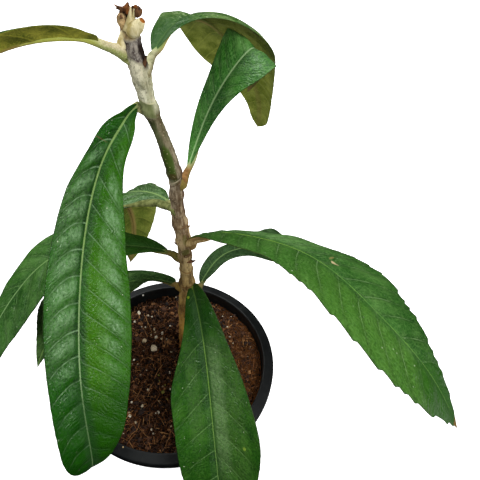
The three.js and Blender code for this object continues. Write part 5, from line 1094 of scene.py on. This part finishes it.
def revolve(name, prof, seg, mat, wobble=None):
    prof = np.array(prof, float)
    a = np.linspace(0, 2 * np.pi, seg, endpoint=False)
    n = len(prof)
    r = prof[:, 0][:, None] + 0 * a
    z = prof[:, 1][:, None] + 0 * a
    if wobble is not None:
        r, z = wobble(r, z, a[None, :])
    V = np.stack([r * np.cos(a), r * np.sin(a), z], -1).reshape(-1, 3)
    F = [list(f) for f in grid_faces(n, seg, wrap=True)]
    V = np.vstack([V, [[0, 0, prof[0, 1]]], [[0, 0, prof[-1, 1]]]])
    F += [[(j + 1) % seg, j, n * seg] for j in range(seg)]
    F += [[(n - 1) * seg + j, (n - 1) * seg + (j + 1) % seg, n * seg + 1] for j in range(seg)]
    return make_mesh(name, V * MM, F, [mat])


def arcpts(cx, cz, r, a0, a1, n):
    t = np.radians(np.linspace(a0, a1, n))
    return [[cx + r * math.cos(v), cz + r * math.sin(v)] for v in t]


POT = pot_material()
pot_profile = ([[8, 0], [20, 0], [36, 0], [44, 0]] + arcpts(44.6, 1.4, 1.4, -90, -15, 4)
               + [[46.6, 4], [52, 22.5], [60.5, 50.5], [68.5, 77], [75.9, 100.0]] + [[76.2, 103], [76.4, 105.6]]
               + [[79.5, 105.2], [80.6, 104.6], [80.9, 103.5], [81.0, 101.6]] + arcpts(81.6, 101.5, 0.55, 200, 340, 5)
               + [[82.25, 102.4], [82.1, 103.1], [82.4, 104.0], [82.5, 106.4], [82.35, 107.3]]
               + arcpts(81.2, 107.1, 1.0, 20, 80, 4) + [[79.5, 108.6], [77.2, 109.3], [75.6, 109.8]]
               + arcpts(75.0, 109.0, 0.95, 85, 178, 5) + [[73.75, 106], [73.55, 100], [66.5, 76.5], [58.5, 50], [50, 22], [44, 4]]
               + [[43, 3], [30, 3], [8, 3]])


def pot_wobble(r, z, a):
    high = smooth(90, 110, z)
    return r + high * (0.25 * np.sin(2 * a + 0.7) + 0.15 * np.sin(5 * a)) - 0.25 * high, z + high * 0.12 * np.sin(3 * a + 1)


pot = revolve("nursery_pot", pot_profile, 256, POT, pot_wobble)
for i in range(6):
    ang = 2 * math.pi * (i + 0.5) / 6
    bpy.ops.mesh.primitive_cylinder_add(vertices=32, radius=0.005, depth=0.012, location=(0.032 * math.cos(ang), 0.032 * math.sin(ang), 0.0015))
    cutter = bpy.context.object
    mod = pot.modifiers.new("hole", "BOOLEAN")
    mod.operation = "DIFFERENCE"
    mod.object = cutter
    mod.solver = "EXACT"
    with bpy.context.temp_override(object=pot, active_object=pot, selected_objects=[pot]):
        bpy.ops.object.modifier_apply(modifier="hole")
    bpy.data.objects.remove(cutter)
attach(pot, "root")
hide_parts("pot")


# ---------------------------------------------------------------- growing mix
def soil_material():
    m = Mat("coir_and_peat")
    n0 = m.noise(26, 3, 0.55)
    n1 = m.noise(260, 5, 0.75)
    n2 = m.noise(900, 4, 0.75)
    n3 = m.noise(520, 4, 0.7, stretch=(1, 0.25, 1))
    n4 = m.noise(520, 4, 0.7, stretch=(0.25, 1, 1))
    v = m.voronoi(620, "F1", 1.0)
    c = m.ramp(n1, [(0.32, lin(12, 7, 5)), (0.46, lin(34, 19, 11)), (0.55, lin(88, 50, 26)), (0.66, lin(140, 88, 44))])
    c = m.mix(m.map(n2, 0.50, 0.70, 0, 0.6), c, lin(136, 92, 50))
    c = m.mix(m.map(n3, 0.60, 0.68, 0, 0.6), c, lin(142, 94, 48))
    c = m.mix(m.map(n4, 0.60, 0.68, 0, 0.6), c, lin(120, 72, 34))
    c = m.mix(m.map(n0, 0.44, 0.66, 0, 0.35), c, lin(120, 74, 36))
    # painted shade in the gaps between crumbs: near black along the cell edges of a fine voronoi pattern
    c = m.mix(m.map(v, 0.36, 0.76, 0, 0.85), c, lin(8, 4, 3))
    sep = m.nt.nodes.new("ShaderNodeSeparateXYZ")
    m.nt.links.new(m.coord, sep.inputs[0])
    # the mix turns a lighter reddish brown towards +x
    paler_right = m.map(m.math("ADD", sep.outputs[0], m.math("MULTIPLY", m.math("SUBTRACT", n0, 0.5), 0.03)), 0.022, 0.058)
    c = m.mix(m.math("MULTIPLY", paler_right, 0.5), c, lin(134, 84, 42))
    c = m.mix(m.map(m.noise(420, 4, 0.75), 0.52, 0.62, 0, 0.75), c, lin(14, 8, 5))
    # painted shadow of the front-left leaf and the pot wall over the back-left of the mix
    shade = m.math("ADD", m.math("SUBTRACT", sep.outputs[1], sep.outputs[0]), m.math("MULTIPLY", m.math("SUBTRACT", n0, 0.5), 0.03))
    c = m.mix(m.math("MULTIPLY", m.map(shade, 0.035, 0.085), 0.62), c, lin(12, 7, 5))
    m.set(Base_Color=c, Roughness=0.92, Normal=m.bump(m.math("ADD", n1, n2), 1.0, 0.0022))
    m.bsdf.inputs["Specular IOR Level"].default_value = 0.1
    return m.mat


SOIL = soil_material()
rng = np.random.default_rng(77)
ww1, ww2, ww3, ww4 = Waves(401, 26), Waves(402, 9, 16), Waves(403, 3.4, 24), Waves(404, 1.6, 30)


def soil_z(x, y):
    r = np.hypot(x, y)
    crown = np.interp(r / 74.0, [0, 0.45, 0.8, 1.0], [2.0, 1.6, 0.8, 0.0])
    return 98.6 + crown + 0.6 * ww1(x, y) + 0.6 * ww2(x, y) + 0.75 * ww3(x, y) + 0.5 * ww4(x, y)


def build_soil():
    seg, rings = 400, 150
    a = np.linspace(0, 2 * np.pi, seg, endpoint=False)
    r = np.linspace(0.6, 73.0, rings)
    R, A_ = np.meshgrid(r, a, indexing="ij")
    X, Y = R * np.cos(A_), R * np.sin(A_)
    Z = soil_z(X, Y)
    top = np.stack([X, Y, Z], -1).reshape(-1, 3)
    side = []
    for rr, z in ((72.6, 96.0), (58.0, 50.0), (43.0, 4.0), (20.0, 3.6)):
        side.append(np.stack([rr * np.cos(a), rr * np.sin(a), 0 * a + z], -1))
    V = np.vstack([top] + side + [[[0, 0, soil_z(np.array(0.0), np.array(0.0))]], [[0, 0, 3.6]]])
    F = [list(f) for f in grid_faces(rings + 4, seg, wrap=True, flip=True)]
    F += [[j, (j + 1) % seg, (rings + 4) * seg] for j in range(seg)]
    e = (rings + 3) * seg
    F += [[e + (j + 1) % seg, e + j, (rings + 4) * seg + 1] for j in range(seg)]
    # rings run outwards on top, so their winding faces up
    o = make_mesh("growing_mix", V * MM, F, [SOIL])
    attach(o, "root")
    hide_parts("soil")


build_soil()


def ico(level=1):
    p = (1 + 5 ** 0.5) / 2
    v = np.array([(-1, p, 0), (1, p, 0), (-1, -p, 0), (1, -p, 0), (0, -1, p), (0, 1, p), (0, -1, -p), (0, 1, -p), (p, 0, -1), (p, 0, 1), (-p, 0, -1), (-p, 0, 1)], float)
    v /= np.linalg.norm(v[0])
    f = [(0, 11, 5), (0, 5, 1), (0, 1, 7), (0, 7, 10), (0, 10, 11), (1, 5, 9), (5, 11, 4), (11, 10, 2), (10, 7, 6), (7, 1, 8),
         (3, 9, 4), (3, 4, 2), (3, 2, 6), (3, 6, 8), (3, 8, 9), (4, 9, 5), (2, 4, 11), (6, 2, 10), (8, 6, 7), (9, 8, 1)]
    for _ in range(level):
        mid, nf, v = {}, [], list(map(np.array, v))
        for a, b, c in f:
            k = []
            for x, y in ((a, b), (b, c), (c, a)):
                key = (min(x, y), max(x, y))
                if key not in mid:
                    q = v[x] + v[y]
                    v.append(q / np.linalg.norm(q))
                    mid[key] = len(v) - 1
                k.append(mid[key])
            nf += [(a, k[0], k[2]), (b, k[1], k[0]), (c, k[2], k[1]), tuple(k)]
        f, v = nf, np.array(v)
    return v, np.array(f)


def rotation(r):
    q = r.normal(size=4)
    q /= np.linalg.norm(q)
    w, x, y, z = q
    return np.array([[1 - 2 * (y * y + z * z), 2 * (x * y - z * w), 2 * (x * z + y * w)],
                     [2 * (x * y + z * w), 1 - 2 * (x * x + z * z), 2 * (y * z - x * w)],
                     [2 * (x * z - y * w), 2 * (y * z + x * w), 1 - 2 * (x * x + y * y)]])


def lumps(name, places, sizes, mat, level, jag, flat=1.0, sinkby=0.35, seed=0):
    r = np.random.default_rng(seed)
    v0, f0 = ico(level)
    VV, FF, tone = [], [], []
    for k, ((x, y), s) in enumerate(zip(places, sizes)):
        w = Waves(int(r.integers(1e6)), 1.1, 6, dims=3)
        v = v0 * (1 + jag * w(v0[:, 0], v0[:, 1], v0[:, 2]))[:, None]
        v = v * (s * r.uniform(0.75, 1.25, 3))
        v = v @ rotation(r).T
        v[:, 2] *= flat
        v += [x, y, float(soil_z(np.array(x), np.array(y))) + s * (0.5 - sinkby) * flat]
        FF.append(f0 + len(v0) * k)
        VV.append(v)
        tone += [r.uniform()] * len(v0)
    o = make_mesh(name, np.vstack(VV) * MM, np.vstack(FF), [mat], {"tone": tone})
    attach(o, "root")
    return o


def disc_points(n, rmax, r, avoid=7.5):
    out = []
    while len(out) < n:
        x, y = r.uniform(-rmax, rmax, 2)
        if math.hypot(x, y) < rmax and math.hypot(x - 10, y - 21.7) > avoid:
            out.append((x, y))
    return out


def crumb_material():
    m = Mat("crumbs")
    t = m.attr("tone")
    n = m.noise(500, 4, 0.7)
    c = m.ramp(t, [(0.0, lin(16, 8, 5)), (0.4, lin(48, 27, 15)), (0.75, lin(100, 62, 33)), (1.0, lin(160, 112, 64))])
    c = m.mix(m.map(n, 0.4, 0.7, 0, 0.6), c, lin(30, 17, 10))
    m.set(Base_Color=c, Roughness=0.9, Normal=m.bump(n, 0.7, 0.0008))
    return m.mat


def perlite_material():
    m = Mat("perlite")
    n = m.noise(700, 4, 0.7)
    c = m.mix(m.map(n, 0.38, 0.66), lin(226, 220, 200), lin(170, 152, 118))
    c = m.mix(m.map(m.attr("tone"), 0.3, 1.0, 0, 0.75), c, lin(164, 140, 100))
    m.set(Base_Color=c, Roughness=0.8, Normal=m.bump(n, 0.6, 0.0006))
    return m.mat


def fibre_material():
    m = Mat("coir_fibre")
    t = m.attr("tone")
    c = m.ramp(t, [(0.0, lin(30, 17, 9)), (0.45, lin(82, 46, 22)), (0.8, lin(134, 84, 42)), (1.0, lin(180, 132, 78))])
    m.set(Base_Color=c, Roughness=0.8, Normal=m.bump(m.noise(900, 3), 0.4, 0.0003))
    return m.mat


r2 = np.random.default_rng(12)
lumps("soil_crumbs", disc_points(420, 71.0, r2), r2.gamma(2.2, 0.42, 420) * 0.7 + 0.5, crumb_material(), 1, 0.34, 0.7, 0.5, 21)
lumps("soil_grit", disc_points(3000, 72.0, r2), r2.gamma(2.0, 0.2, 3000) + 0.22, crumb_material(), 0, 0.3, 0.8, 0.2, 24)
PERLITE = [(-33.5, 52.7, 1.71), (-36.1, 43.7, 1.08), (-30.2, 39.6, 0.87), (-32.5, 27.2, 1.12), (-25.5, 24.2, 2.04), (-16.9, 16.9, 2.15), (-16.0, 28.0, 1.19), (-11.1, 32.1, 1.26), (-18.4, 35.5, 0.87), (-11.2, 26.7, 0.86), (-2.0, -4.7, 0.89), (-25.3, -6.0, 0.95), (-17.8, -19.5, 1.12), (-20.8, -34.0, 1.04), (-8.1, -38.4, 1.15), (-9.6, -39.8, 0.67), (-29.4, -42.0, 1.21), (-24.6, -46.7, 1.02), (2.9, -49.6, 0.72), (-32.2, 6.4, 0.71), (-30.5, -39.5, 0.61)]
OLIVE = [(-9.8, -12.2, 0.82), (-5.8, -21.8, 1.43), (-2.1, -26.8, 0.92), (-10.7, -6.9, 0.76), (-4.7, -15.7, 0.75)]
pp = PERLITE + [(*p, s) for p, s in zip(disc_points(60, 70, r2), r2.uniform(0.4, 1.0, 60))]
lumps("perlite_grains", [(p[0], p[1]) for p in pp], [p[2] for p in pp], perlite_material(), 2, 0.2, 0.9, -0.25, 22)
lumps("slow_release_grains", [(p[0], p[1]) for p in OLIVE], [p[2] for p in OLIVE], plain_wood("olive_grain", (84, 84, 30), (132, 128, 56), 0.7), 2, 0.12, 0.7, 0.0, 23)


def fibres(name, n, seed):
    r = np.random.default_rng(seed)
    VV, FF, tone = [], [], []
    base = 0
    K = 4
    for x, y in disc_points(n, 71, r, 6.0):
        ln = float(np.clip(r.gamma(1.6, 3.4), 1.6, 30))
        th = r.uniform(0, 2 * np.pi)
        bend = r.normal(0, 0.25)
        m = 6
        s = np.linspace(-0.5, 0.5, m)
        px = x + ln * (s * math.cos(th) - bend * s * s * 0.5 * math.sin(th))
        py = y + ln * (s * math.sin(th) + bend * s * s * 0.5 * math.cos(th))
        rr = np.hypot(px, py)
        k = np.minimum(1, 72.0 / np.maximum(rr, 1e-6))
        px, py = px * k, py * k
        rad = r.uniform(0.09, 0.24)
        pz = soil_z(px, py) + 0.25 + rad + r.uniform(0.0, 1.3) * np.sin(np.pi * (s + 0.5)) ** 1 + 0.3 * r.normal()
        c = np.stack([px, py, pz], 1)
        T = np.gradient(c, axis=0)
        T /= np.linalg.norm(T, axis=1)[:, None]
        U = np.cross(T, [0, 0, 1.0])
        U /= np.maximum(np.linalg.norm(U, axis=1), 1e-6)[:, None]
        W = np.cross(U, T)
        a = np.linspace(0, 2 * np.pi, K, endpoint=False)
        taper = rad * np.clip(1.15 - 1.2 * np.abs(s) ** 2 * 2, 0.35, 1)
        ring = c[:, None] + U[:, None] * (taper[:, None] * np.cos(a))[..., None] + W[:, None] * (taper[:, None] * np.sin(a))[..., None]
        VV.append(ring.reshape(-1, 3))
        F = [list(f) for f in grid_faces(m, K, wrap=True, base=base)]
        F += [[base + j for j in range(K)][::-1], [base + (m - 1) * K + j for j in range(K)]]
        FF += F
        tone += [r.uniform()] * (m * K)
        base += m * K
    o = make_mesh(name, np.vstack(VV) * MM, FF, [fibre_material()], {"tone": tone})
    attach(o, "root")


fibres("coir_fibres", 2600, 31)

# ---------------------------------------------------------------- floor
bpy.ops.mesh.primitive_plane_add(size=12, location=(0, 0, 0))
floor = bpy.context.object
floor.name = "floor"
fm_ = Mat("pale_floor")
fm_.set(Base_Color=(0.9, 0.9, 0.9, 1), Roughness=0.95, Emission_Color=(1, 1, 1, 1), Emission_Strength=0.85)
fm_.bsdf.inputs["Specular IOR Level"].default_value = 0.0
floor.data.materials.append(fm_.mat)
floor.visible_glossy = False
floor.visible_diffuse = False
